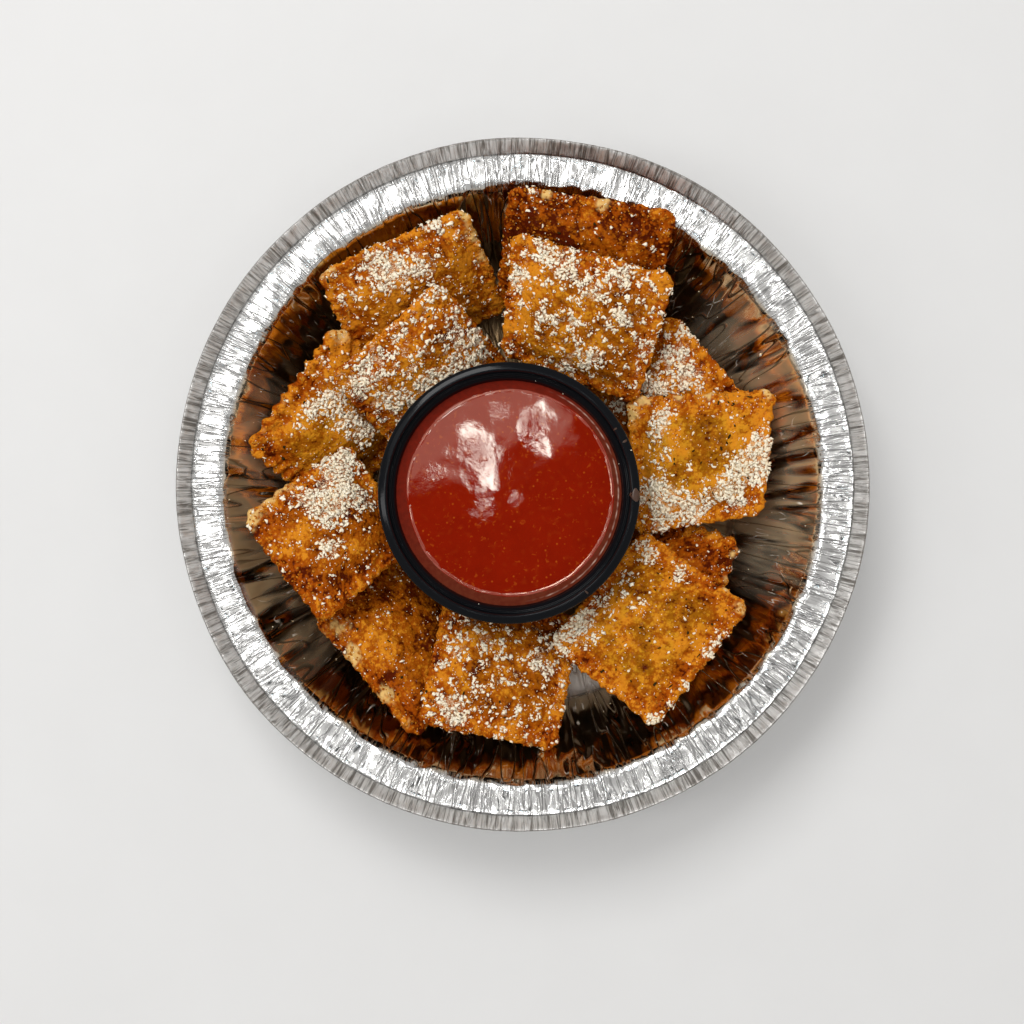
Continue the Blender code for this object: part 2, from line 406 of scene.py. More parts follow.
class FoilRecipe(Recipe):
    """A recipe with masks for the parts of the pan."""

    def __init__(self, name):
        super().__init__(name, metallic=1.0)
        self.spot = self.places()
        flat = self.vector("MULTIPLY", self.spot, (1.0, 1.0, 0.0))
        self.outward = self.vector("NORMALIZE", flat)
        self.radius = self.vector("LENGTH", flat, output="Value")
        self.inside = self.painted("inside")
        self.on_flat = self.between(self.radius, LEDGE_RADIUS - 1.5, LEDGE_RADIUS + 0.5)
        self.on_lip = self.between(self.radius, CREASE_RADIUS - 0.1, CREASE_RADIUS + 0.5)
        self.on_hem = self.between(self.radius, PAN_RADIUS - 0.75, PAN_RADIUS - 0.35)
        self.on_base = self.between(self.radius, BASE_RADIUS + 4.5, BASE_RADIUS + 1)
        self.in_pan = (1 - self.on_flat) * self.inside

    def drawn_out(self, squeeze):
        """Places for a pattern whose patches are drawn out from the middle of the pan."""
        around = self.vector("MULTIPLY", self.outward, (PATTERN_RADIUS,) * 3)
        along = self.node("ShaderNodeCombineXYZ", {}, {"Z": self.radius * squeeze})
        return self.vector("ADD", around, along)

    def towards(self, side):
        """1 at one side of the pan, and -1 at the side opposite."""
        return self.vector("DOT_PRODUCT", self.outward, side, output="Value")


# %% [markdown]
# Clean foil is what the ledge, the lip and the whole outside show. Creases too fine for the
# mesh are lines where a stretched pattern passes its middle value. They get painted shade, dark
# in the colour. The lip is hatched bright and dark, as painted highlights and painted shade of
# its finest wrinkles.

# %% Clean foil
def clean_foil(foil, creases, hatch):
    """The colour of foil that no oil has touched, with painted shade in its creases and painted
    highlights and shade on its lip, and the haze in it.
    """
    haze = foil.mottle(7.0, foil.spot, detail=4.0)
    silver = foil.blend(haze, (0.66, 0.655, 0.64), (0.82, 0.815, 0.80))
    # painted shade: the fine creases on the ledge are darkened
    crease_shaded_silver = foil.blend(creases * foil.on_flat * 0.6, silver, (0.22, 0.215, 0.21))
    # painted highlights and shade: the lip's fine wrinkles are hatched bright and dark
    lip_highlight_and_shade = foil.blend(foil.between(hatch, 0.36, 0.57), (0.24, 0.22, 0.195), (1.0, 0.98, 0.95))
    return foil.blend(foil.on_lip * 0.9, crease_shaded_silver, lip_highlight_and_shade), haze


# %% [markdown]
# Inside the pan the wall and the base are filmed with frying oil, which tints the reflections
# amber and brown; the amber is partly the oil and partly painted reflection of the food. The
# wall is painted darker towards one side and near its top, and its fold lines get painted shade.
# Thin bright threads on it are painted glints, and two opposite sides get a duller, lighter
# beige as painted light. The base's dark brown is partly oil and partly painted shade between
# the ravioli. One patch of the base is wiped nearly bare.

# %% Oily foil
DARKER_WALL_SIDE = (-0.3, -0.95, 0.0)
LIGHTER_WALL_SIDES = (0.985, 0.17, 0.0)  # towards one of them: the other is opposite
WIPED_SIDE = (0.34, -0.94, 0.0)


def oily_wall_with_painted_light(foil, folded, dried, painted_glint_threads):
    """The colour of the oil on the wall, with its painted shade, light and glints."""
    # painted darker towards one side of the wall
    toward_darker_side = foil.between(foil.towards(DARKER_WALL_SIDE), 0.3, 1.0)
    # the amber tint is partly oil and partly painted reflection of the food
    amber = foil.blend(toward_darker_side * 0.8, (1.0, 0.88, 0.66), (0.50, 0.37, 0.23))
    # painted darker near the top of the wall
    near_top = foil.between(foil.radius, LEDGE_RADIUS - 9, LEDGE_RADIUS - 2)
    darkened_near_top = foil.blend(near_top * 0.45, amber, (0.34, 0.25, 0.15))
    # painted light: a duller, lighter beige at two opposite sides of the wall
    dull = foil.blend(dried * 0.7, darkened_near_top, (0.84, 0.54, 0.24))
    shaded = foil.blend(folded * 0.6, dull, (0.10, 0.055, 0.025))
    # painted glints: thin bright threads across the oil
    return foil.blend(painted_glint_threads, shaded, (0.85, 0.78, 0.68))


def wiped_patch(foil):
    """A mask for the patch of the base that is nearly bare."""
    near_wall = foil.between(foil.radius, BASE_RADIUS - 10, BASE_RADIUS - 6)
    return foil.between(foil.towards(WIPED_SIDE), 0.8, 0.97) * near_wall


# %% [markdown]
# The whole finish first draws the patterns, then stacks their reliefs one over another, and
# last lays the oily colours over the clean one inside the pan. Under the painted glints and the
# painted lighter sides, and where the foil is wiped, it reflects less like metal.

# %% The whole finish
def make_foil():
    """Creased foil, bright on the ledge and lip, and oily inside the pan."""
    foil = FoilRecipe("pressed_foil")
    down_wall = foil.drawn_out(0.2)
    on_sheet = foil.drawn_out(0.06)
    lines = foil.thin_line(foil.mottle(1.3, on_sheet, detail=1.5, distortion=0.5), 0.06)
    hairs = foil.thin_line(foil.mottle(0.6, on_sheet, detail=1.0, distortion=0.3), 0.04)
    hatch = foil.mottle(0.6, on_sheet, detail=4.0, roughness=0.7, distortion=0.7)
    drape = foil.mottle(4.0, down_wall, detail=1.0, distortion=0.9)
    folds = foil.mottle(4.5, down_wall, detail=0.5, distortion=0.8)
    folded = foil.thin_line(folds, 0.022) * foil.in_pan
    threads = foil.mottle(3.0, down_wall, detail=0.5, distortion=1.0)
    # painted glints: patches where the thin bright threads lie
    glint_patches = foil.between(foil.mottle(6.0, foil.spot, detail=2.0), 0.5, 0.68) * foil.in_pan
    painted_glint_threads = foil.thin_line(threads, 0.012, 0.002) * glint_patches
    # painted light: where the duller, lighter beige lies on two opposite sides
    at_lighter_sides = foil.between(foil.math("ABSOLUTE", foil.towards(LIGHTER_WALL_SIDES)), 0.78, 0.99)
    dried = at_lighter_sides * foil.in_pan * foil.between(drape, 0.36, 0.56)
    wiped = wiped_patch(foil)

    line_relief = foil.relief((lines + hairs * 0.3) * foil.on_flat, 0.15)
    fold_relief = foil.relief(folded, 0.3, over=line_relief)
    drape_relief = foil.relief(drape * (1 - foil.on_flat), 1.4, over=fold_relief)
    skin = foil.relief(hatch * foil.on_lip, 0.4, over=drape_relief)

    clean, haze = clean_foil(foil, lines + hairs * 0.5, hatch)
    walled = foil.blend(foil.in_pan, clean, oily_wall_with_painted_light(foil, folded, dried, painted_glint_threads))
    # partly oil and partly painted shade: the base is dark brown, but for the wiped patch
    base = foil.blend(wiped, (0.20, 0.13, 0.065), (0.85, 0.80, 0.74))
    oiled_and_shaded_base = foil.blend(foil.on_base * foil.inside, walled, base)
    # painted shade: the rolled hem is darkened
    colour = foil.blend(foil.on_hem * 0.75, oiled_and_shaded_base, (0.16, 0.14, 0.12))
    rough = 0.09 + haze * 0.1 + foil.on_lip * 0.2 + foil.on_base * 0.25
    # the foil is less metallic under the painted glints and the painted lighter sides, and where it is
    # wiped
    metal = 1 - painted_glint_threads * 0.6 - dried * 0.4 - wiped * foil.on_base * 0.8
    return foil.feed(Base_Color=colour, Metallic=metal, Roughness=rough, Normal=skin)


finish_piece("foil_pan", pan_mesh, make_foil(), "pan")

# %% [markdown]
# ## The sauce cup
#
# The cup is thin black plastic, formed in a mould, with a rolled rim for a lid to snap
# under and a small step inside. It is turned again, with more points round the curves than the
# plain solid has, and with the fine ring that the mould leaves beside the groove. Its rim is
# never quite flat, so the points near the top are raised and lowered by broad hills.

# %% The cup's profile
CUP_CENTRE = (-4.0, -2.4)
CUP_BASE = 0.9
CUP_TOP = 46.5
CUP_STEPS = 160

cup_outside = [
    (0.0, CUP_BASE), (24.0, CUP_BASE), (24.7, CUP_BASE + 0.3), (25.0, CUP_BASE + 1.2),
    (29.6, 20.8), (34.1, 40.6), (35.3, 41.2), (35.7, 41.8), (35.8, 44.2),
]
cup_rim = [
    (37.3, 44.4), (37.65, 44.6), (37.8, 45.1), (37.76, 45.5), (37.6, 45.85), (37.25, 46.1),
    (36.6, 46.27), (35.95, 46.42), (35.6, CUP_TOP), (35.35, 46.42), (35.18, 46.1), (35.1, 45.6),
]
cup_inside = [
    (35.05, 44.6), (34.95, 43.0), (34.8, 42.55), (34.55, 42.4), (34.4, 42.6), (34.2, 42.6),
    (34.05, 42.3), (33.7, 42.0), (33.3, 41.6), (33.15, 41.2), (32.4, 37.5), (24.2, 2.5),
    (23.5, 1.9), (0.0, 1.7),
]
cup_profile = cup_outside + cup_rim + cup_inside
cup_mesh = turned(cup_profile, CUP_STEPS, CUP_CENTRE)
for vert in cup_mesh.verts:
    if vert.co.z > 40:
        vert.co.z += 0.12 * hills(vert.co.x, vert.co.y, 26, 5.0)
print("cup profile:", len(cup_profile), "points")

# %% [markdown]
# Black plastic is nearly black all the way through, so what is seen of it is its gloss: a
# narrow bright line along each curve of the rim. The roughness is low and only a little
# streaked, and the reflection is turned down, so that the cup stays dark between the food.

# %% The cup's finish
def make_plastic():
    """Glossy black plastic, very slightly streaked."""
    plastic = Recipe("black_plastic")
    spot = plastic.places()
    film = plastic.mottle(9.0, spot, detail=4.0)
    scuffs = plastic.mottle(0.8, plastic.vector("MULTIPLY", spot, (1.0, 0.2, 1.0)), detail=3.0)
    tone = plastic.blend(film, (0.0012, 0.0016, 0.0028), (0.003, 0.0036, 0.005))
    skin = plastic.relief(plastic.mottle(0.45, spot), 0.012, 0.6)
    streaked = 0.06 + scuffs * 0.06
    return plastic.feed(Base_Color=tone, Roughness=streaked, Specular_IOR_Level=0.14, Normal=skin)


finish_piece("sauce_cup", cup_mesh, make_plastic(), "cup")

# %% [markdown]
# ## The tomato sauce
#
# The sauce is smooth and wet, with small lumps of tomato just under the skin. It clings to
# the cup: a thin film climbs the wall, and where the thick sauce ends there is a low rounded
# edge that catches the light. Gloss on a nearly flat surface shows every small slope, so the
# swells and lumps are real height and not only bump. The lumps are strongest in a few places
# where the sauce was stirred or dipped into.

# %% The sauce's surface
SAUCE_LEVEL = 39.5
SAUCE_RADIUS = 32.95
SAUCE_STEPS = 340
SAUCE_EDGE = 30.0  # where the thick sauce ends and the film begins
SECOND_EDGE = 31.9  # a second, fainter wet line higher up the film
STIRRED = (
    # across and deep from the cup's middle, size, strength
    (-7.8, -6, 3.0, 2.2),
    (-23, 5.5, 2.8, 1.5),
    (-10, 12, 5.0, 1.0),
    (7, 20, 3.4, 1.0),
    (-3, 24, 3.0, 1.0),
    (2.6, -2, 2.0, 1.8),
)
PAINTED = ("film", "thin", "pulp", "shine", "busy")


def sauce_at(x, y):
    """How far the sauce rises at a place from the cup's middle, then its PAINTED values.

    They are how much of it is film, how thin and brown the film is on that side, how much pulp
    shows, how brightly a wet line shines, and how stirred it is.
    """
    radius = math.hypot(x, y)
    angle = math.atan2(y, x)
    edge = SAUCE_EDGE + 0.4 * math.cos(angle - 0.2) + 0.3 * hills_round(angle, 2, 1)
    edge += 0.14 * hills_round(angle, 8, 3)
    film = ease(radius, edge - 0.1, edge + 0.4)
    low_side = ease(math.cos(angle + 0.9), -0.75, 0.45)

    busy = 0.06
    for at_x, at_y, size, strength in STIRRED:
        busy += strength * math.exp(-(((x - at_x) ** 2 + (y - at_y) ** 2) / size**2))
    swell = hills(x, y, 13, 2.0) + 0.3 * hills(x, y, 5, 5.0) + 0.05 * hills(x, y, 2, 6.0)
    pulp = max(0.0, hills(x, y, 1.8, 9.0) - 0.2)
    ripple = noise.noise((x / 1.2, y / 2.0, 15.0)) + 0.5 * noise.noise((x / 0.7, y / 0.9, 19.0))
    thick = 0.045 * swell + busy * (0.035 * pulp + 0.012 * ripple)

    unbroken = 0.15 + 0.85 * ease(hills_round(angle, 6, 8), -0.35, 0.05)
    lip = math.exp(-(((radius - edge + 0.35) / 0.15) ** 2)) * (0.3 + 0.7 * low_side) * unbroken
    second = math.exp(-(((radius - SECOND_EDGE) / 0.14) ** 2)) * ease(math.cos(angle + 0.1), 0.2, 0.7)
    left, right = ease(math.cos(angle - 3.9), 0.75, 0.95), ease(math.cos(angle + 0.5), 0.6, 0.85)
    glint = 0.45 + 1.5 * hills(x, y, 1.6, 44.0)
    shine = glint * (0.8 * lip * max(0.1, left, right) + 0.6 * second)

    rise = (1 - film) * thick + 0.16 * lip + 0.12 * second
    return rise, film, low_side, min(1.0, 3 * pulp * (0.3 + busy)), max(0.0, shine), busy


# %% [markdown]
# The sauce fills the cup, so it is turned as one solid, with many points on its top. Each top
# point is raised, and the five values are painted on it for the materials to read. The faces
# in the film get the number of a second material.

# %% Pour the sauce
sauce_profile = (
    [(0.0, 2.1), (23.0, 2.1), (24.0, 2.9), (SAUCE_RADIUS, SAUCE_LEVEL)]
    + spread((SAUCE_RADIUS - 0.2, SAUCE_LEVEL), (27.0, SAUCE_LEVEL), 36)
    + spread((27.0, SAUCE_LEVEL), (0.0, SAUCE_LEVEL), 72)
    + [(0.0, SAUCE_LEVEL)]
)
sauce_mesh = turned(sauce_profile, SAUCE_STEPS, CUP_CENTRE)
sauce_layers = [sauce_mesh.verts.layers.float.new(name) for name in PAINTED]
for vert in sauce_mesh.verts:
    if vert.co.z < SAUCE_LEVEL - 0.5:
        continue
    rise, *values = sauce_at(vert.co.x - CUP_CENTRE[0], vert.co.y - CUP_CENTRE[1])
    vert.co.z += rise
    for layer, value in zip(sauce_layers, values):
        vert[layer] = value
for face in sauce_mesh.faces:
    face.material_index = int(all(vert[sauce_layers[0]] > 0.5 for vert in face.verts))

# %% [markdown]
# The thick sauce is deep red and as glossy as varnish. Its gloss comes from a high IOR and a
# tiny roughness, and its tint warms the reflections, which would turn it pink if they were
# white. The film on the cup's wall is matte and browner, and the wet lines at its edges are
# painted on it as pale streaks: painted highlights where they catch the light.

# %% The sauce's two finishes
def make_sauce():
    """Thick red sauce with seeds and shreds of tomato in it."""
    sauce = Recipe("tomato_sauce")
    spot = sauce.places()
    cloud = sauce.mottle(6.0, spot, detail=5.0)
    red = sauce.blend(cloud, (0.20, 0.0060, 0.0003), (0.29, 0.0105, 0.0005))
    seeds = sauce.between(sauce.grains(2.6, spot), 0.16, 0.06)
    shreds = sauce.between(sauce.mottle(1.5, spot, detail=2.0, distortion=0.6), 0.62, 0.72)
    seeded = sauce.blend(seeds * 0.8 + shreds * 0.5, red, (0.42, 0.07, 0.005))
    pulpy = sauce.blend(sauce.painted("pulp") * 0.5, seeded, (0.33, 0.035, 0.003))
    stretched = sauce.vector("MULTIPLY", spot, (0.6, 1.0, 1.0))
    ripples = sauce.mottle(0.5, stretched, detail=4.0, roughness=0.6)
    skin = sauce.relief(ripples * (0.1 + sauce.painted("busy") * 0.9), 0.015)
    return sauce.feed(
        Base_Color=pulpy,
        Roughness=0.01 + cloud * 0.03,
        IOR=2.0,
        Specular_Tint=(1.0, 0.74, 0.58),
        Normal=skin,
    )


def make_film():
    """The thin skin of sauce on the cup's wall, with painted highlights on the wet lines that edge it.
    """
    film = Recipe("sauce_film")
    uneven = film.between(film.mottle(1.4, film.places(), detail=4.0), 0.35, 0.65) * 0.5
    smear = film.blend(film.painted("thin"), (0.17, 0.0085, 0.0010), (0.13, 0.022, 0.0075))
    streaked = film.blend(uneven, smear, (0.09, 0.006, 0.001))
    # painted highlights along the wet lines
    colour = film.blend(film.painted("shine"), streaked, (0.95, 0.72, 0.58))
    return film.feed(Base_Color=colour, Specular_IOR_Level=0.05)


sauce_piece = finish_piece("tomato_sauce", sauce_mesh, make_sauce(), "sauce")
sauce_piece.data.materials.append(make_film())

# %% [markdown]
# ## How the ravioli lie
#
# Each ravioli leans against the wall, the cup or its neighbours. This table says where, as a
# maker would: a turn around the pan, how far out and how high, which way its outer edge faces,
# how it leans and rolls, its size, and how far each corner is drawn in. The solids were made
# from the same numbers, so the detailed pieces land exactly on them.

# %% The table of places
RAVIOLI = {
    # name: (around, out, up, facing, lean, roll, wide, deep, tucks), in degrees and millimetres
    "ravioli_01": (119, 66.0, 25.5, 113, 43, 5, 48, 41, (1, 0, 0, 0)),
    "ravioli_02": (131, 45.5, 25.0, 131, 42, 2, 43, 41, (1, 0, 0, 0)),
    "ravioli_03": (161, 58.5, 20.0, 142, 38, 3, 45, 41, (0, 0, 0, 0)),
    "ravioli_04": (194, 57.0, 32.5, 217, 27, 0, 38, 41, (0, 0, 2, 0)),
    "ravioli_05": (234, 57.5, 18.5, 219, 36, 1, 46, 41, (0, 0, 0, 0)),
    "ravioli_06": (263, 55.5, 24.5, 260, 17, -8, 42, 41, (0, 0, 0, 1)),
    "ravioli_07": (312, 56.0, 29.0, 322, 14, -1, 45, 40, (0, 0, 1, 0)),
    "ravioli_08": (325, 52.0, 14.0, 340, 31, 0, 41, 41, (1, 1, 0, 0)),
    "ravioli_09": (7, 54.5, 27.0, 2, 18, 3, 41, 44, (5, 0, 0, 0)),
    "ravioli_10": (26, 51.5, 14.5, 40, 30, 0, 45, 41, (0, 0, 0, 0)),
    "ravioli_11": (72, 51.0, 34.0, 75, 29, 1, 48, 42, (0, 0, 5, 0)),
    "ravioli_12": (75, 69.5, 32.5, 82, 45, -4, 48, 42, (0, 0, 0, 0)),
}


def place_of(name):
    """The turn and shift that take a flat ravioli to its place in the pan."""
    around, out, up, facing, lean, roll = RAVIOLI[name][:6]
    return (
        Matrix.Rotation(math.radians(around), 4, "Z")
        @ Matrix.Translation((out, 0, up))
        @ Matrix.Rotation(math.radians(facing - around), 4, "Z")
        @ Matrix.Rotation(math.radians(-lean), 4, "Y")
        @ Matrix.Rotation(math.radians(roll), 4, "X")
    )


# %% [markdown]
# ## What makes each one different
#
# No two came out of the fryer alike. This table gives each one its browning, from 0 for pale
# gold to 1 for dark, how golden its middle stayed, its all-over sprinkle of cheese and dried
# herbs, the drifts where the cheese fell thickly, and the patches where the breading is thin and
# pale dough shows. A place on a ravioli is (across, along): across runs from -1 at the edge by
# the cup to 1 at the outer edge, and along from -1 to 1 at its two sides.

# %% The table of looks
LOOKS = {
    # name: (browning, gold, sprinkle, herbs, drifts, pale patches)
    # each drift or patch is (across, along, radius in mm, strength)
    "ravioli_01": (
        0.5, 0.4, 0.25, 0.3,
        ((0.85, 0.3, 4.2, 0.9), (0.5, 0.3, 3.6, 0.75), (0.5, 0.8, 4, 0.55), (0.5, -0.1, 4.6, 1),
         (0.95, -0.6, 2.5, 0.7), (0.6, -0.7, 5, 0.2), (1.05, -0.45, 2.6, 1.2), (0.8, 0.1, 3, 0.3)),
        ((0.95, -0.97, 3, 0.9), (0.55, -1, 3.2, 1), (0.15, -1, 3.2, 0.8), (1, 0.9, 3, 0.6)),
    ),
    "ravioli_02": (
        0.48, 0.3, 0.44, 0.15,
        ((0.9, -0.8, 3.2, 0.8), (0.3, -0.7, 4.4, 0.6), (-0.2, -0.8, 5, 0.9), (-0.2, -0.3, 5.5, 0.85),
         (-0.1, 0.1, 5, 0.95), (0.1, 0.6, 4.6, 1), (0.7, 0.8, 5, 0.75), (0.8, 0.4, 3.5, 0.6),
         (0.7, 0.0, 5, 0.35), (-0.6, 0.3, 5, 0.8)),
        (),
    ),
    "ravioli_03": (
        0.38, 0.6, 0.07, 0.7,
        ((0.5, -0.2, 4.4, 0.85), (0.6, 0.1, 3, 0.9), (0.1, -0.1, 4.5, 0.9), (0.9, -0.5, 2.4, 0.55),
         (-0.3, -0.1, 4.5, 0.9), (0.6, 0.4, 2.4, 0.35)),
        ((1, -0.9, 3.6, 0.55), (0.8, -1, 3, 0.4), (1, -0.3, 2.2, 0.35), (1, 0.2, 2.4, 0.4),
         (1, 0.7, 2.2, 0.35)),
    ),
    "ravioli_04": (
        0.68, 0.35, 0.18, 0.2,
        ((-0.8, -0.8, 5, 1), (-0.5, -0.9, 4.4, 1), (0.0, -0.5, 4.6, 0.9), (-0.4, -0.4, 4.6, 0.95),
         (0.0, -0.2, 3.6, 0.8), (0.3, 0.2, 3.6, 0.9), (-0.6, -0.1, 3.6, 0.8), (0.2, -0.8, 3, 0.5),
         (0.6, -0.7, 3, 0.25)),
        ((0.98, -0.95, 3.4, 1), (0.6, -1, 3, 0.9), (0.2, -1.02, 3, 0.7)),
    ),
    "ravioli_05": (
        0.76, 0.5, 0.03, 0.5,
        ((0.6, 0.0, 4, 0.12),),
        ((0.85, -0.75, 3.4, 0.9), (0.95, -0.3, 3, 0.9), (0.95, 0.35, 3, 0.8), (1, 0.8, 2.4, 0.5)),
    ),
    "ravioli_06": (
        0.62, 0.5, 0.36, 0.25,
        ((0.7, -0.7, 3.2, 0.9), (0.85, -0.5, 3, 0.85), (-0.3, -0.2, 3.2, 0.6), (0.0, 0.0, 3, 0.5),
         (0.4, -0.3, 3, 0.5), (-0.1, -0.7, 3.2, 0.6), (-0.5, -0.6, 4, 0.45), (-0.2, 0.4, 3, 0.45),
         (-0.1, 0.65, 3.2, 0.6), (0.7, 0.1, 3, 0.35)),
        ((1, 0.6, 2, 0.35), (1.02, 0.0, 2, 0.3)),
    ),
    "ravioli_07": (
        0.56, 0.85, 0.07, 0.9,
        ((-0.9, -0.9, 5.2, 1), (-0.8, -0.5, 4.2, 0.85), (-0.7, -0.1, 4.2, 0.6), (-0.7, 0.3, 4, 0.5),
         (-0.6, 0.7, 3, 0.75), (-0.1, 0.8, 2.4, 0.95), (-0.8, 0.8, 3, 0.65), (-0.2, 0.1, 3.2, 0.25),
         (-0.4, -0.6, 3.6, 0.45), (0.98, 0.2, 1.8, 1), (0.98, 0.45, 1.8, 0.9), (1.0, -0.3, 1.8, 0.9),
         (0.97, -0.95, 2.6, 1.2), (1.0, -0.65, 1.7, 0.8)),
        ((1, 1, 3, 0.9), (0.6, 1, 2.2, 0.4), (1, 0.6, 2, 0.4)),
    ),
    "ravioli_08": (
        0.68, 0.1, 0.03, 0.3,
        ((0.8, 0.6, 4, 0.18), (1.0, 0.75, 2, 0.6)),
        ((1.0, 0.8, 2.6, 0.5), (1.0, 0.4, 2.2, 0.4)),
    ),
    "ravioli_09": (
        0.4, 0.75, 0.08, 1.0,
        ((-0.5, 0.7, 3, 0.9), (-0.6, 0.5, 3, 0.9), (-0.5, 0.1, 4, 0.6), (-0.7, -0.4, 4.4, 1),
         (-0.5, -0.5, 5, 0.95), (-0.1, -0.6, 4, 0.8), (-0.6, -0.9, 3.4, 0.9), (-0.2, -0.8, 3.2, 0.75),
         (0.8, 0.3, 2.6, 0.9), (0.6, -0.1, 5, 1), (0.3, -0.4, 4, 0.9), (0.8, 0.1, 3.4, 1.1),
         (0.5, -0.6, 3, 0.7), (0.95, -0.2, 3.4, 1.1), (0.95, 0.15, 2.4, 1.1)),
        ((-0.8, 1, 2.6, 0.9), (-0.3, 1, 2, 0.6), (0.1, 1, 2.2, 0.6), (0.6, 1, 2, 0.5),
         (0.9, 1, 2.4, 0.8), (-1, 0.75, 3.4, 0.9), (0.8, -1, 3, 0.8), (0.4, -1, 2.2, 0.5)),
    ),
    "ravioli_10": (
        0.56, 0.3, 0.16, 0.2,
        ((1.0, 0.7, 3.4, 0.6), (0.6, 0.6, 5, 0.8), (0.6, 0.2, 4.4, 0.8), (0.1, 0.4, 4.6, 0.95),
         (-0.5, 0.6, 4, 0.9)),
        (),
    ),
    "ravioli_11": (
        0.47, 0.5, 0.38, 0.3,
        ((0.9, 0.6, 3, 0.95), (0.8, 0.3, 4, 0.8), (0.6, -0.1, 3.6, 0.7), (0.9, -0.4, 3.2, 0.9),
         (0.0, 0.4, 3.4, 0.7), (0.1, 0.0, 3.4, 0.6), (0.3, -0.5, 3.2, 0.9), (-0.4, -0.2, 4, 0.7),
         (-0.3, -0.4, 3.2, 0.6), (-0.1, -0.9, 3, 0.7), (-0.7, 0.0, 3.4, 0.7), (0.5, 0.8, 2.6, 0.9),
         (0.3, 0.8, 2.6, 0.6), (0.7, -0.8, 3, 0.4)),
        ((1, 0.85, 2.2, 0.35),),
    ),
    "ravioli_12": (
        0.95, 0.6, 0.03, 0.35,
        ((0.4, -0.8, 1.4, 0.6), (1.0, 0.75, 2, 0.8), (1.0, 0.3, 1.6, 0.5)),
        ((1, -0.1, 2.2, 0.9), (1.0, 0.55, 2, 0.7), (1, -0.6, 1.8, 0.3)),
    ),
}


def heap_at(name, across, along, spots):
    """How much a list of round spots adds up to at one place on a ravioli."""
    wide, deep = RAVIOLI[name][6:8]
    total = 0.0
    for spot_across, spot_along, radius, strength in spots:
        distance = math.hypot((across - spot_across) * deep / 2, (along - spot_along) * wide / 2)
        total += strength * math.exp(-((distance / (1.15 * radius)) ** 2))
    return total


def cheese_at(name, across, along, ragged):
    """How thickly the cheese lies, from 0 to 1. Ragged frays the drifts' edges."""
    _, _, sprinkle, _, drifts, _ = LOOKS[name]
    drift = heap_at(name, across, along, drifts)
    loose = sprinkle * 1.5 * max(0.0, ragged) ** 2
    return min(1.0, loose + 1.15 * drift * ease(drift + 1.5 * ragged, 0.5, 1.6))


# %% [markdown]
# ## Shaping a ravioli
#
# A ravioli is two sheets of dough pressed together round a filling, then crumbed and fried. It
# has a thin crimped border, a shoulder where the filling starts and a low crown. A subdivided
# cube is a good start, because its six sides stay clean grids: the top and bottom become the
# crust and the four narrow sides become the edge. Every point is then moved, first to the
# pillow and then by the unevenness that frying gives it.

# %% A cube cut into a fine grid
GRID_CUTS = 83
EDGE_CUTS = 3


def cut_cube():
    """A cube from -1 to 1, cut finely along two axes and coarsely along the third."""
    bm = bmesh.new()
    bmesh.ops.create_cube(bm, size=2)
    for axis, cuts in enumerate((GRID_CUTS, GRID_CUTS, EDGE_CUTS)):
        along = [edge for edge in bm.edges if abs(edge.verts[0].co[axis] - edge.verts[1].co[axis]) > 1]
        bmesh.ops.subdivide_edges(bm, edges=along, cuts=cuts)
    return bm


blank = bpy.data.meshes.new("ravioli_blank")
cut = cut_cube()
cut.to_mesh(blank)
cut.free()
print("blank:", len(blank.vertices), "points")

# %% [markdown]
# The border's crimps come from the fork or wheel that sealed it: short ridges across the
# border, about five millimetres apart. The crumb coating is a second, much finer relief,
# made of rounded grains about a millimetre across, and it frays the edges.

# %% From cube to pillow
EDGE_HALF = 1.3  # half as thick as the border
BODY_HALF = 5.5  # half as thick as the filled middle
BORDER = 3.0  # how far in the filling starts
CORNER_ROUND = 3.0
CRIMPS = 36
CRIMPED = {"ravioli_03": 2.2, "ravioli_08": 1.9}  # how hard each border was pressed
LIGHTLY_CRIMPED = 0.8


def rounded_corner(x, y, half_x, half_y):
    """Pulls a rectangle's corner in to an arc."""
    over_x = (abs(x) - half_x + CORNER_ROUND) / CORNER_ROUND
    over_y = (abs(y) - half_y + CORNER_ROUND) / CORNER_ROUND
    if over_x <= 0 or over_y <= 0:
        return x, y
    arc_x = over_x * math.sqrt(1 - over_y * over_y / 2)
    arc_y = over_y * math.sqrt(1 - over_x * over_x / 2)
    return (
        math.copysign(half_x + (arc_x - 1) * CORNER_ROUND, x),
        math.copysign(half_y + (arc_y - 1) * CORNER_ROUND, y),
    )


def border_share(inset):
    """1 at the edge, fading to 0 over the filling."""
    return math.exp(-((inset / 3.6) ** 2))


def crust_relief(spot, inset, crimp):
    """How far the crust stands out at a place, and how far it is from the nearest crumb."""
    slow = noise.noise(spot / 9.0)
    lump = noise.noise(spot / 3.4 + Vector((7, 7, 0)))
    crumb = noise.noise(spot / 1.25, noise_basis="VORONOI_F1")
    grit = noise.noise(spot / 0.8 + Vector((0, 3, 0)))
    relief = 0.55 * slow + 0.36 * lump + 0.36 * (0.45 - crumb) + 0.18 * grit
    relief += border_share(inset) * (0.28 * crimp * ease(inset, 0.2, 1.2) + 0.15)
    return relief, crumb


def frayed(x, y, number, crimp):
    """How far the edge is pushed out or in by its crimps and its ragged crumbs."""
    ragged = hills(x, y, 2.2, number + 0.5) + 0.6 * hills(x, y, 0.9, number)
    wavy = hills(x, y, 9, number + 3)
    return 0.45 * ragged + 0.3 * crimp + 0.5 * wavy - 0.2


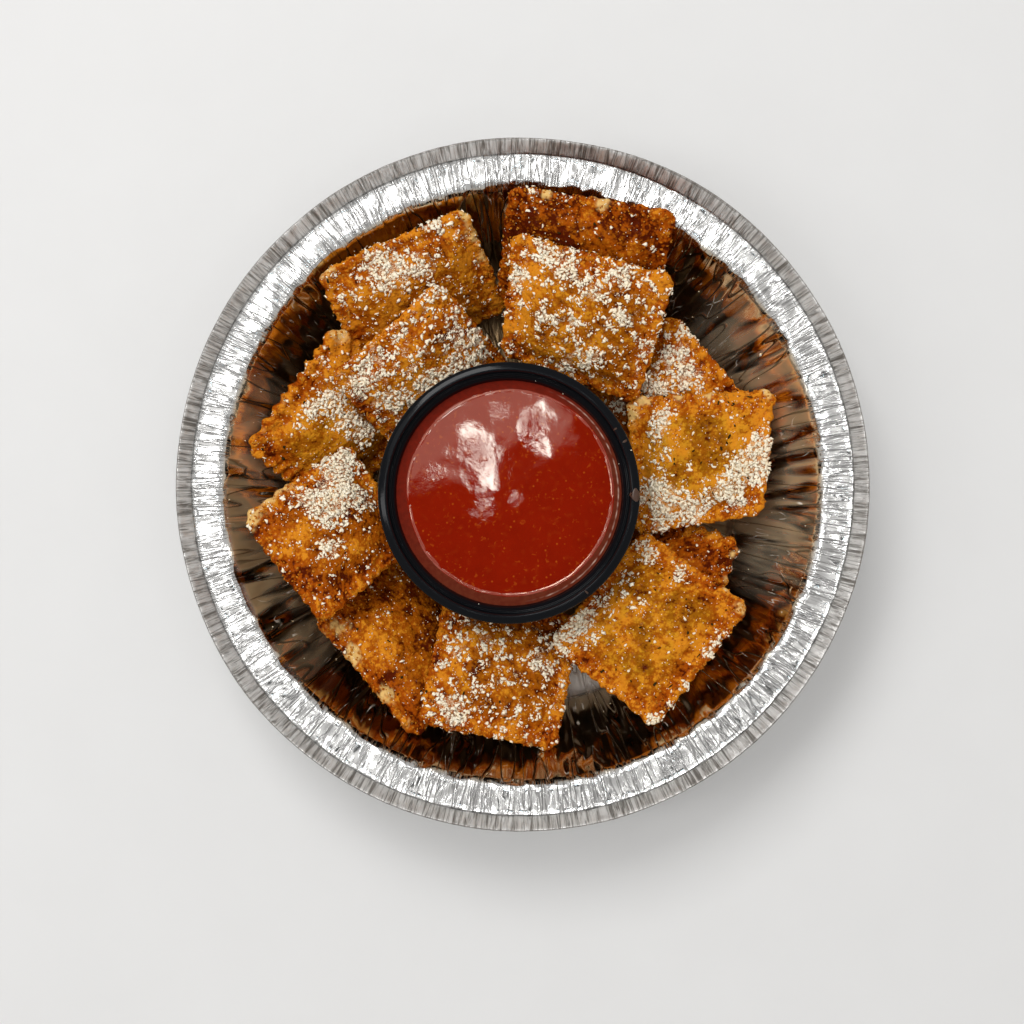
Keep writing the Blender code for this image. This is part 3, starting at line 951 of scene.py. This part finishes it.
def tucked(x, y, across, along, tucks):
    """A place after each corner is drawn in by its tuck."""
    for tuck, (side_x, side_y) in zip(tucks, ((1, -1), (1, 1), (-1, 1), (-1, -1))):
        share = max(0.0, 1 + side_x * across) * max(0.0, 1 + side_y * along) / 4
        x -= tuck * share * side_x
        y -= tuck * share * side_y
    return x, y


# %% [markdown]
# All of that comes together for one point of the cube. It is moved to the outline, given the
# pillow's thickness, pushed out by the relief and frayed at the edge. Last, the whole ravioli
# is bent and twisted a little, in its own way.

# %% Move one point
def pillow(point, name, number):
    """Where a point of the cube goes, how far in from the edge it is, and its crust_relief."""
    wide, deep, tucks = RAVIOLI[name][6:9]
    half_x, half_y = deep / 2, wide / 2
    x, y = rounded_corner(point.x * half_x, point.y * half_y, half_x, half_y)
    near_x, near_y = half_x * (1 - abs(point.x)), half_y * (1 - abs(point.y))
    pull_x, pull_y = math.exp(-near_x / 1.5), math.exp(-near_y / 1.5)
    inset = max(0.0, -1.5 * math.log(pull_x + pull_y))
    rise = 1 - math.exp(-((max(0.0, inset - BORDER) / 4.7) ** 1.7))
    half = EDGE_HALF + (BODY_HALF - EDGE_HALF) * rise - 0.35 * math.exp(-inset / 0.5)
    side = 1 if point.z > 0 else -1

    turn = math.atan2(y / half_y, x / half_x)
    crimp = math.cos(CRIMPS * turn + 1.6 * hills_round(turn, 2, number))
    crimp *= CRIMPED.get(name, LIGHTLY_CRIMPED)
    relief, crumb = crust_relief(Vector((x, y, 31.0 * number + 9 * side)), inset, crimp)

    bulge = math.sqrt(max(0.0, 1 - point.z * point.z)) if inset < 0.01 else 0.0
    stretch = border_share(inset) * frayed(x, y, number, crimp)
    outward = Vector((math.copysign(pull_x, x), math.copysign(pull_y, y), 0)).normalized()
    x += outward.x * (stretch + 0.55 * bulge)
    y += outward.y * (stretch + 0.55 * bulge)

    across, along = 2 * x / deep, 2 * y / wide
    x, y = tucked(x, y, across, along, tucks)
    bow = 0.7 * math.sin(2.1 * number) * (along * along - 0.5)
    twist = 0.6 * math.cos(3.7 * number) * across * along
    z = point.z * half + side * relief * abs(point.z) + bow + twist
    return Vector((x, y, z)), inset, relief, crumb


# %% [markdown]
# Colour follows the shape. The edges brown a little more than the middle, the gaps between the
# crumbs get painted shade, and the raised bits of the edge get painted highlights. Working that
# out needs the relief, so the browning, with that painted shade and light in it, is painted on
# the points here, while the relief is known, and the material only adds the finest variation.
# Pale dough and dusty cheese are painted the same way.

# %% Paint the browning and build the twelve
LAYERS = ("browning", "gold", "pale", "dust")


def paint(vert, layers, name, number, inset, relief, crumb):
    """Writes how brown, golden, pale and cheese-dusted one point is; the brown holds painted shade and
    highlights.
    """
    browning, gold, _, _, _, patches = LOOKS[name]
    wide, deep = RAVIOLI[name][6:8]
    spot = vert.co
    across, along = 2 * spot.x / deep, 2 * spot.y / wide
    seed = Vector((0, 0, 17.0 * number))
    cloud = noise.noise(spot / 8.0 + seed)
    patch = noise.noise(spot / 3.0 + seed)
    fleck = noise.noise(spot / 1.1 + seed)
    rim = math.exp(-((inset / 4.5) ** 2))
    # painted shade in the gaps between crumbs, and painted highlights on the raised bits of the edge
    browning_shade_and_highlight = browning + 0.6 * cloud + 0.42 * patch + 0.15 * fleck + 0.12 * rim
    browning_shade_and_highlight += 0.35 * (crumb - 0.4) - 0.04 - 0.6 * rim * relief
    middle = ease(inset, 3.0, 9.0)
    bare = heap_at(name, across, along, patches)
    vert[layers[0]] = min(1.0, max(0.0, browning_shade_and_highlight))
    vert[layers[1]] = min(1.0, max(0.0, gold * middle * (0.75 + 0.9 * patch + 0.9 * cloud)))
    vert[layers[2]] = ease(bare + min(1.0, 2 * bare) * (0.7 * patch + 0.5 * fleck), 0.35, 0.85)
    if spot.z > 0:
        ragged = 0.5 + 0.9 * patch + 0.6 * fleck
        vert[layers[3]] = max(0.0, cheese_at(name, across, along, ragged) - 0.2)


def make_ravioli(name, finish):
    """Builds one ravioli where its plain solid lies, with its relief and its painted values."""
    number = int(name[-2:])
    bm = bmesh.new()
    bm.from_mesh(blank)
    layers = [bm.verts.layers.float.new(layer) for layer in LAYERS]
    for vert in bm.verts:
        vert.co, inset, relief, crumb = pillow(vert.co, name, number)
        paint(vert, layers, name, number, inset, relief, crumb)
    bm.transform(place_of(name))
    return finish_piece(name.replace("ravioli", "breaded_ravioli"), bm, finish, name)


# %% [markdown]
# Fried breading is a coat of crumbs soaked in oil. It runs from gold through orange-brown to
# a dark red-brown in the most fried patches and, as painted shade, in the gaps, and it never is
# one even orange. So the painted browning, two sizes of cloud and the grains are added up to one
# level, and the colour is picked by that level; the gaps between the grains add painted shade.
# Small wet glints come from an oily coat that is there only in specks.

# %% The breading's finish
def make_breading():
    """Fried crumbs on dough, coloured by the painted values."""
    crust = Recipe("fried_breading")
    spot = crust.places()
    browning = crust.painted("browning")
    gold = crust.painted("gold")
    pale = crust.painted("pale")
    dust = crust.painted("dust")
    grain = crust.grains(0.75, spot)
    speckle = crust.mottle(0.5, spot, detail=4.0, roughness=0.7)
    cloud = crust.mottle(2.6, spot, detail=4.0, roughness=0.6)
    # painted shade: the gaps between the grains darken the level
    level = browning + (cloud - 0.5) * 0.85 + (speckle - 0.5) * 0.62 + (grain - 0.35) * 0.38
    light = crust.blend(gold, (0.70, 0.245, 0.014), (0.58, 0.290, 0.014))
    middle = crust.blend(gold, (0.37, 0.070, 0.002), (0.32, 0.108, 0.003))
    warm = crust.blend(crust.between(level, 0.05, 0.55), light, middle)
    deep = crust.blend(crust.between(level, 0.6, 1.05), warm, (0.085, 0.009, 0.0008))
    specks = crust.between(crust.mottle(1.3, spot, detail=2.0), 0.7, 0.76)
    spotted = crust.blend(specks * 0.8, deep, (0.04, 0.010, 0.002))
    dough = crust.blend(pale, spotted, (0.80, 0.50, 0.17))
    powder = crust.between(speckle + dust * 0.3, 0.68, 0.8)
    dusted = crust.blend(powder * dust * 0.8, dough, (0.95, 0.75, 0.5))
    fine = crust.relief(speckle, 0.3, 0.7)
    crumbs = crust.relief(1 - grain, 0.25, 0.5, over=fine)
    oil = crust.between(crust.mottle(0.9, spot, detail=3.0), 0.58, 0.68)
    return crust.feed(
        Base_Color=dusted,
        Roughness=0.45 + speckle * 0.3,
        Specular_IOR_Level=0.02,
        Coat_Weight=oil * 0.25,
        Coat_Roughness=0.18,
        Normal=crumbs,
    )


breading = make_breading()
crusts = {name: make_ravioli(name, breading) for name in RAVIOLI}
bpy.data.meshes.remove(blank)

# %% [markdown]
# ## Scattering small things
#
# Cheese, herbs and crumbs fall from above, so they are placed the same way: points are picked at
# random over the pan, a ray is dropped at each, and what it hits says which ravioli is there, at
# which place on it, and how the surface tilts. A chance taken from the tables decides if a bit
# stays. There are half a million faces to hit, so they are first sorted into a tree.

# %% Drop rays on the food
BIT_SEED = 20


def surface_below():
    """Everything that can catch a crumb, as one tree for rays, with the owner of each face."""
    corners, faces, owners = [], [], []
    for piece in [*crusts.values(), bpy.data.objects["sauce_cup"], bpy.data.objects["foil_pan"]]:
        mesh = piece.data
        start = sum(len(part) for part in corners)
        spots = np.empty(len(mesh.vertices) * 3)
        mesh.vertices.foreach_get("co", spots)
        corners.append(spots.reshape(-1, 3))
        mesh.calc_loop_triangles()
        triangles = np.empty(len(mesh.loop_triangles) * 3, np.int32)
        mesh.loop_triangles.foreach_get("vertices", triangles)
        faces.append(triangles.reshape(-1, 3) + start)
        owners += [piece.name] * len(mesh.loop_triangles)
    points = (np.concatenate(corners) / MM).tolist()
    triangles = np.concatenate(faces).tolist()
    return BVHTree.FromPolygons(points, triangles, all_triangles=True), owners


tree, owners = surface_below()
backwards = {name: place_of(name).inverted() for name in RAVIOLI}
print("surface for crumbs:", len(owners), "triangles")


def drop(x, y):
    """What lies under one place: the point, its tilt, its owner and its place on a ravioli."""
    point, normal, face, _ = tree.ray_cast(Vector((x, y, 80)), Vector((0, 0, -1)))
    if point is None:
        return None
    if normal.z < 0:
        normal = -normal
    name = owners[face].replace("breaded_", "")
    if name not in RAVIOLI:
        return point, normal, name, 0.0, 0.0
    wide, deep = RAVIOLI[name][6:8]
    local = backwards[name] @ point
    return point, normal, name, 2 * local.x / deep, 2 * local.y / wide


# %% [markdown]
# Thousands of bits are too many for one object each, so a few shapes of at most twenty faces
# are copied, turned and joined into one mesh for each kind. Arrays of numbers do that much
# faster than a bmesh would.

# %% Join many small shapes into one piece
def shape_of(bm):
    """The points and triangles of a small mesh, as arrays."""
    bmesh.ops.triangulate(bm, faces=bm.faces)
    bm.verts.index_update()
    points = np.array([vert.co[:] for vert in bm.verts])
    faces = np.array([[vert.index for vert in face.verts] for face in bm.faces])
    bm.free()
    return points, faces


def joined(name, shapes, bits, finish):
    """One piece from many bits. Each bit is (which shape, its 4 by 4 place in millimetres)."""
    points, faces, start = [], [], 0
    for which, place in bits:
        shape_points, shape_faces = shapes[which]
        turn = np.array(place)
        points.append(shape_points @ turn[:3, :3].T + turn[:3, 3])
        faces.append(shape_faces + start)
        start += len(shape_points)
    points = np.concatenate(points) * MM
    faces = np.concatenate(faces)
    mesh = bpy.data.meshes.new(name)
    mesh.vertices.add(len(points))
    mesh.vertices.foreach_set("co", points.ravel())
    mesh.loops.add(faces.size)
    mesh.loops.foreach_set("vertex_index", faces.ravel().astype(np.int32))
    mesh.polygons.add(len(faces))
    mesh.polygons.foreach_set("loop_start", np.arange(0, faces.size, 3, dtype=np.int32))
    mesh.update(calc_edges=True)
    mesh.validate()
    return place_piece(name, mesh, finish)


def laid(chance, point, normal, size, tilt, lift):
    """Lays a bit on a surface, turned at random, a little tilted and a little raised."""
    base = Vector((0, 0, 1)).rotation_difference(normal).to_matrix().to_4x4()
    spin = Matrix.Rotation(chance.uniform(0, math.tau), 4, "Z")
    nod = Matrix.Rotation(chance.gauss(0, tilt), 4, "X")
    lean = nod @ Matrix.Rotation(chance.gauss(0, tilt), 4, "Y")
    grow = Matrix.Diagonal((*size, 1.0))
    return Matrix.Translation(point + normal * lift) @ base @ lean @ spin @ grow


# %% [markdown]
# Finely grated hard cheese is a mix of short curled shreds, broken crumbs and dust. A shred is
# made from a cube cut in the middle and bent, and is drawn out long when it is laid. A crumb is
# a ball of twenty triangles with its corners pulled about, and a speck of dust is a tiny
# four-sided cone.

# %% The shapes of the bits
def jittered(bm, chance, amount):
    """Moves every corner a little, so no two shapes are alike."""
    for vert in bm.verts:
        vert.co += Vector([chance.uniform(-amount, amount) for _ in range(3)])
    return bm


def shred_shape(chance):
    """A bent bar, one long, with its ends narrowed and pulled down and to one side."""
    bm = bmesh.new()
    bmesh.ops.create_cube(bm, size=1)
    lengthways = [edge for edge in bm.edges if abs(edge.verts[0].co.x - edge.verts[1].co.x) > 0.5]
    bmesh.ops.subdivide_edges(bm, edges=lengthways, cuts=1)
    for vert in bm.verts:
        if abs(vert.co.x) > 0.1:
            vert.co.y *= 0.6
            vert.co.z -= 0.4
            vert.co.y += 0.4
    return shape_of(jittered(bm, chance, 0.24))


def crumb_shape(chance):
    """An uneven little ball, about one across."""
    bm = bmesh.new()
    bmesh.ops.create_icosphere(bm, subdivisions=1, radius=0.5)
    return shape_of(jittered(bm, chance, 0.2))


def speck_shape(chance):
    """An uneven little cone, about one across."""
    bm = bmesh.new()
    bmesh.ops.create_cone(bm, cap_ends=True, segments=4, radius1=0.5, radius2=0, depth=0.7)
    return shape_of(jittered(bm, chance, 0.12))


chance = random.Random(BIT_SEED)
SHRED_SHAPES = [shred_shape(chance) for _ in range(8)]
CRUMB_SHAPES = [crumb_shape(chance) for _ in range(8)]
SPECK_SHAPES = [speck_shape(chance) for _ in range(6)]
bit_faces = [len(shapes[0][1]) for shapes in (SHRED_SHAPES, CRUMB_SHAPES, SPECK_SHAPES)]
print("faces of a shred, a crumb and a speck:", *bit_faces)

# %% [markdown]
# Where a drift is thick, bits lie on other bits, so each is raised by a random part of the
# drift's depth. Where it is thin, they sit in the crust one by one. Hardly any fall beside the
# ravioli, and the thicker the cheese lies, the more of it is shreds and crumbs.

# %% Sprinkle the grated cheese
CHEESE_DROPS = 115000
SPRINKLE_RADIUS = 88.0
MOST_SHREDS = 8200
MOST_CRUMBS = 9300
MOST_SPECKS = 32000
DUSTING = 0.07  # how thickly cheese lies outside the drifts
STRAY_IN_PAN = 0.0025
STRAY_ON_CUP = 0.0012


def sprinkle_cheese():
    """Drops cheese over the pan, and sorts what stays into shreds, crumbs and specks."""
    chance = random.Random(BIT_SEED + 1)
    shreds, crumbs, specks = [], [], []
    for _ in range(CHEESE_DROPS):
        x = chance.uniform(-SPRINKLE_RADIUS, SPRINKLE_RADIUS)
        y = chance.uniform(-SPRINKLE_RADIUS, SPRINKLE_RADIUS)
        if math.hypot(x, y) > SPRINKLE_RADIUS - 1:
            continue
        found = drop(x, y)
        if not found:
            continue
        point, normal, name, across, along = found
        if name in RAVIOLI:
            ragged = 0.5 + 1.1 * hills(x, y, 2.6, 3) + 0.6 * hills(x, y, 1.0, 8)
            amount = max(cheese_at(name, across, along, ragged), DUSTING * (0.3 + ragged))
        else:
            amount = STRAY_IN_PAN if name == "foil_pan" else STRAY_ON_CUP
        if chance.random() > amount:
            continue
        kind = chance.random()
        lift = chance.random() ** 2 * 0.9 * amount
        if kind < 0.2 * amount:
            size = (chance.uniform(0.8, 1.8), chance.uniform(0.45, 0.9), chance.uniform(0.25, 0.4))
            which = chance.randrange(len(SHRED_SHAPES))
            shreds.append((which, laid(chance, point, normal, size, 0.3, 0.08 + lift)))
        elif kind < 0.05 + 0.55 * amount:
            size = [chance.uniform(0.55, 1.25) + 0.9 * chance.random() ** 5 for _ in range(3)]
            size[2] *= 0.4
            which = chance.randrange(len(CRUMB_SHAPES))
            crumbs.append((which, laid(chance, point, normal, size, 0.3, 0.1 + lift)))
        else:
            size = (chance.uniform(0.28, 0.6), chance.uniform(0.28, 0.6), chance.uniform(0.2, 0.4))
            which = chance.randrange(len(SPECK_SHAPES))
            specks.append((which, laid(chance, point, normal, size, 0.5, 0.1 + lift)))
    return shreds[:MOST_SHREDS], crumbs[:MOST_CRUMBS], specks[:MOST_SPECKS]


shreds, crumbs, specks = sprinkle_cheese()
print("cheese:", len(shreds), "shreds", len(crumbs), "crumbs", len(specks), "specks")

# %% [markdown]
# Hard cheese is a dry, matte cream that is never pure white. Most of the change from bit to
# bit comes from the light on their many faces, so the finish only adds a soft shift of tone and
# a few darker flecks of aged rind.

# %% The cheese's finish
def make_cheese():
    """Dry cream-coloured cheese."""
    cheese = Recipe("grated_hard_cheese", roughness=0.6)
    spot = cheese.places()
    tone = cheese.mottle(2.2, spot, detail=3.0)
    speck = cheese.mottle(0.35, spot, detail=2.0)
    cream = cheese.blend(cheese.between(tone, 0.3, 0.7), (1.0, 0.86, 0.63), (1.0, 0.93, 0.76))
    aged = cheese.blend(cheese.between(speck, 0.55, 0.75) * 0.2, cream, (0.85, 0.62, 0.38))
    broken = cheese.relief(speck, 0.08, 0.6)
    return cheese.feed(Base_Color=aged, Normal=broken)


grated = make_cheese()
joined("cheese_shreds", SHRED_SHAPES, shreds, grated)
joined("cheese_crumbs", CRUMB_SHAPES, crumbs, grated)
joined("cheese_specks", SPECK_SHAPES, specks, grated)

# %% [markdown]
# ## Dabs of dried sauce
#
# A few dabs of sauce have dried on the cup's rim. Each starts as a ball that is stretched over
# the rim, swollen unevenly and pressed low, and then every point is lifted to whatever lies
# below it, so the dab follows the rim.

# %% Dabs of sauce on the cup's rim
DABS = (
    # degrees round the cup, radius, long, wide
    (-1, 36.3, 2.9, 4.6),
    (24, 36.4, 1.5, 1.0),
    (31, 35.6, 1.1, 0.8),
    (-52, 36.2, 1.4, 0.7),
)
DAB_SKEW = math.radians(10)  # how far a dab is turned off the straight line outwards


def make_dabs():
    """Small dried smears: low mounds with pinched, uneven outlines."""
    dabs = bmesh.new()
    for angle, radius, long, wide in DABS:
        mound = bmesh.ops.create_icosphere(dabs, subdivisions=3, radius=0.5)["verts"]
        for vert in mound:
            swell = 1 + 0.5 * noise.noise(vert.co * 2.2 + Vector((angle, 0, 0)))
            vert.co.x *= long * swell
            vert.co.y *= wide * swell * (0.7 + 0.5 * vert.co.x / long)
            vert.co.z *= 0.5
        place = (
            Matrix.Translation((*CUP_CENTRE, 0))
            @ Matrix.Rotation(math.radians(angle), 4, "Z")
            @ Matrix.Translation((radius, 0, 0))
            @ Matrix.Rotation(DAB_SKEW, 4, "Z")
        )
        bmesh.ops.transform(dabs, matrix=place, verts=mound)
        for vert in mound:
            vert.co.z += max(drop(vert.co.x, vert.co.y)[0].z, CUP_TOP - 1.2)
    return dabs


def make_dried_sauce():
    """Sauce that has dried dark brown."""
    dried = Recipe("dried_sauce", roughness=0.35)
    tone = dried.mottle(1.1, dried.places(), detail=3.0)
    return dried.feed(Base_Color=dried.blend(tone, (0.03, 0.012, 0.006), (0.09, 0.04, 0.02)))


finish_piece("sauce_dabs", make_dabs(), make_dried_sauce())

# %% [markdown]
# ## Crumbs and herbs
#
# Coarse browned crumbs stand on the crust and fringe its edges, which is what makes the
# outline look crisp rather than moulded. The dried herbs are the same shapes pressed flat, so
# they become thin dark flakes. Only what lands on a ravioli is kept.

# %% Scatter browned crumbs and dried herbs
CRUMB_DROPS = 26000
HERB_DROPS = 5200
HERB_THICKNESS = 0.14


def scatter(drops, seed, share_of):
    """Drops bits on the ravioli, and keeps each with the chance that share_of gives."""
    chance = random.Random(seed)
    kept = []
    for _ in range(drops):
        x = chance.uniform(-SPRINKLE_RADIUS, SPRINKLE_RADIUS)
        y = chance.uniform(-SPRINKLE_RADIUS, SPRINKLE_RADIUS)
        found = drop(x, y)
        if found and found[2] in RAVIOLI and chance.random() < share_of(*found[2:]):
            kept.append(found)
    return kept, chance


def crumb_share(name, across, along):
    """More crumbs near the edges than in the middle."""
    return 0.16 + 0.6 * ease(max(abs(across), abs(along)), 0.72, 0.98)


def herb_share(name, across, along):
    """As many herbs as the table of looks says, anywhere on the ravioli."""
    _, _, _, herbiness, _, _ = LOOKS[name]
    return 0.09 * herbiness


found_crumbs, chance = scatter(CRUMB_DROPS, BIT_SEED + 2, crumb_share)
browned = []
for point, normal, *_ in found_crumbs:
    size = [chance.uniform(0.4, 0.95) for _ in range(3)]
    which = chance.randrange(len(CRUMB_SHAPES))
    browned.append((which, laid(chance, point, normal, size, 0.6, 0.05)))

found_herbs, chance = scatter(HERB_DROPS, BIT_SEED + 3, herb_share)
herbs = []
for point, normal, *_ in found_herbs:
    long = chance.uniform(0.5, 1.1) + 1.1 * chance.random() ** 3
    size = (long, chance.uniform(0.35, 0.9), HERB_THICKNESS)
    which = chance.randrange(len(CRUMB_SHAPES))
    herbs.append((which, laid(chance, point, normal, size, 0.2, 0.22)))
print("coating:", len(browned), "browned crumbs", len(herbs), "herb flakes")

# %% [markdown]
# The loose crumbs have the breading's colours, a little lighter, and the herbs have dried to
# a nearly black olive. Both are dull, so their reflections are turned down.

# %% Their finishes
def make_browned():
    """Fried crumbs, from gold to orange-brown."""
    toast = Recipe("browned_crumbs", roughness=0.42)
    spot = toast.places()
    tone = toast.mottle(1.2, spot, detail=3.0)
    slow = toast.mottle(7.0, spot, detail=2.0)
    warm = toast.blend(toast.between(tone, 0.3, 0.7), (0.62, 0.22, 0.016), (0.34, 0.075, 0.003))
    mixed = toast.blend(toast.between(slow, 0.45, 0.7) * 0.6, warm, (0.55, 0.26, 0.035))
    rough_skin = toast.relief(toast.mottle(0.3, spot), 0.08, 0.6)
    return toast.feed(Base_Color=mixed, Specular_IOR_Level=0.05, Normal=rough_skin)


def make_herbs():
    """Dark dried leaves."""
    leaf = Recipe("dried_herbs", roughness=0.7)
    tone = leaf.mottle(0.9, leaf.places(), detail=3.0)
    green = leaf.blend(tone, (0.010, 0.006, 0.002), (0.05, 0.036, 0.010))
    return leaf.feed(Base_Color=green, Specular_IOR_Level=0.05)


joined("browned_crumbs", CRUMB_SHAPES, browned, make_browned())
joined("herb_flakes", CRUMB_SHAPES, herbs, make_herbs())

# %% [markdown]
# ## The table, the light and the camera
#
# The pan stands on a plain pale sheet, much wider than the view. It isn't part of the meal, so
# it is seen, but rides on no body.

# %% The table
TABLE_SIZE = 3.0  # half its side, in metres


def make_paper():
    """A pale matte sheet, hardly uneven at all."""
    paper = Recipe("pale_paper", roughness=0.8)
    tone = paper.mottle(30.0, paper.places(), detail=4.0)
    colour = paper.blend(tone, (0.735, 0.73, 0.7225), (0.768, 0.7645, 0.757))
    return paper.feed(Base_Color=colour)


table = bmesh.new()
bmesh.ops.create_grid(table, x_segments=2, y_segments=2, size=TABLE_SIZE)
table_mesh = bpy.data.meshes.new("table")
table.to_mesh(table_mesh)
table.free()
table_mesh.materials.append(make_paper())
table_top = bpy.data.objects.new("table", table_mesh)
bpy.context.scene.collection.objects.link(table_top)

# %% [markdown]
# Shiny food shows its lamps, so each lamp has one job. A soft panel hangs above the pan to one
# side, with a stronger key lamp beyond it, and they make the soft shadows. A narrow strip
# lights the side of the pan. Two small bluish lamps hang where the sauce mirrors them, and draw
# its wet highlights, which its warm tint brings back to near white. Seven little lamps round
# the pan put the glints in the creases of the foil.

# %% The lights
WET_LIGHT = (0.66, 0.88, 1.0)
LAMPS = {
    # name: (place in metres, width, depth, power)
    "key_lamp": ((-0.3, 0.62, 1.2), 0.5, 0.5, 6.6),
    "side_strip": ((-0.6, -0.05, 1.0), 0.12, 0.5, 1.1),
}
PANELS = {
    # name: (place in metres, width, depth, power, turn in degrees, colour)
    "soft_panel": ((-0.3, 0.204, 1.0), 0.56, 0.5, 0.75, 19, (1.0, 1.0, 1.0)),
    "long_lamp": ((-0.0311, 0.0432, 0.99), 0.018, 0.055, 0.05, 27, WET_LIGHT),
    "short_lamp": ((0.0141, 0.0613, 0.99), 0.01, 0.023, 0.016, 10, WET_LIGHT),
}
GLINTS = (
    (-0.24, 0.22), (-0.08, 0.36), (-0.38, 0.04), (0.22, 0.28),
    (0.3, -0.06), (-0.12, -0.34), (0.16, -0.3),
)


def add_lamp(name, place, width, depth, power):
    """A rectangular soft light that faces the pan."""
    light = bpy.data.lights.new(name, "AREA")
    light.shape = "RECTANGLE"
    light.size = width
    light.size_y = depth
    light.energy = power
    holder = bpy.data.objects.new(name, light)
    holder.location = place
    holder.rotation_euler = Vector(place).to_track_quat("Z", "Y").to_euler()
    bpy.context.scene.collection.objects.link(holder)
    return holder


for name, (*measures, turn, colour) in PANELS.items():
    panel = add_lamp(name, *measures)
    panel.rotation_euler = (0, 0, math.radians(turn))  # straight down
    panel.data.color = colour
for name, measures in LAMPS.items():
    add_lamp(name, *measures)
for number, (x, y) in enumerate(GLINTS):
    add_lamp(f"glint_lamp_{number}", (x, y, 1.0), 0.045, 0.045, 0.1)
print("lamps:", len(LAMPS) + len(PANELS) + len(GLINTS))

# %% [markdown]
# The sky lights everything from all round. It is dim in a patch straight overhead, where
# someone looking down would stand in the way, and that keeps the middle of the sauce deep red.
# Round the patch is a bright ring, and the rest of the sky is about half as bright. The sky is
# written with the same recipe as the materials, because it is a net of nodes too.

# %% The sky
class SkyRecipe(Recipe):
    """A recipe for the world around the scene."""

    def __init__(self, name):
        self.material = bpy.data.worlds.new(name)
        self.material.use_nodes = True
        self.tree = self.material.node_tree
        self.shader = self.tree.nodes["Background"]


RING_LIGHT = 1.0
LOW_LIGHT = 0.55
PATCH_LIGHT = 0.02

sky = SkyRecipe("studio_sky")
direction = sky.node("ShaderNodeTexCoord", output="Generated")
height = sky.node("ShaderNodeSeparateXYZ", {}, {0: direction}, output="Z")


def overhead(outer, inner):
    """0 outside a cone round straight up, rising to 1 inside a narrower one, in degrees."""
    return sky.between(height, math.cos(math.radians(outer)), math.cos(math.radians(inner)))


patch = overhead(9, 6)
ring = overhead(28, 15)
around_patch = LOW_LIGHT + ring * (RING_LIGHT - LOW_LIGHT)
strength = around_patch * (1 - patch) + patch * PATCH_LIGHT
bpy.context.scene.world = sky.feed(Color=(1.0, 0.99, 0.98), Strength=strength)

# %% [markdown]
# The camera looks straight down from a little over half a metre. A camera that isn't turned
# already looks down, so it only needs its place and its lens.

# %% The camera
CAMERA_PLACE = (-0.0031, -0.0079, 0.566)
LENS = 63.54

camera = bpy.data.cameras.new("camera")
camera.lens = LENS
viewer = bpy.data.objects.new("camera", camera)
viewer.location = CAMERA_PLACE
bpy.context.scene.collection.objects.link(viewer)
bpy.context.scene.camera = viewer
bpy.context.scene.view_settings.view_transform = "Standard"
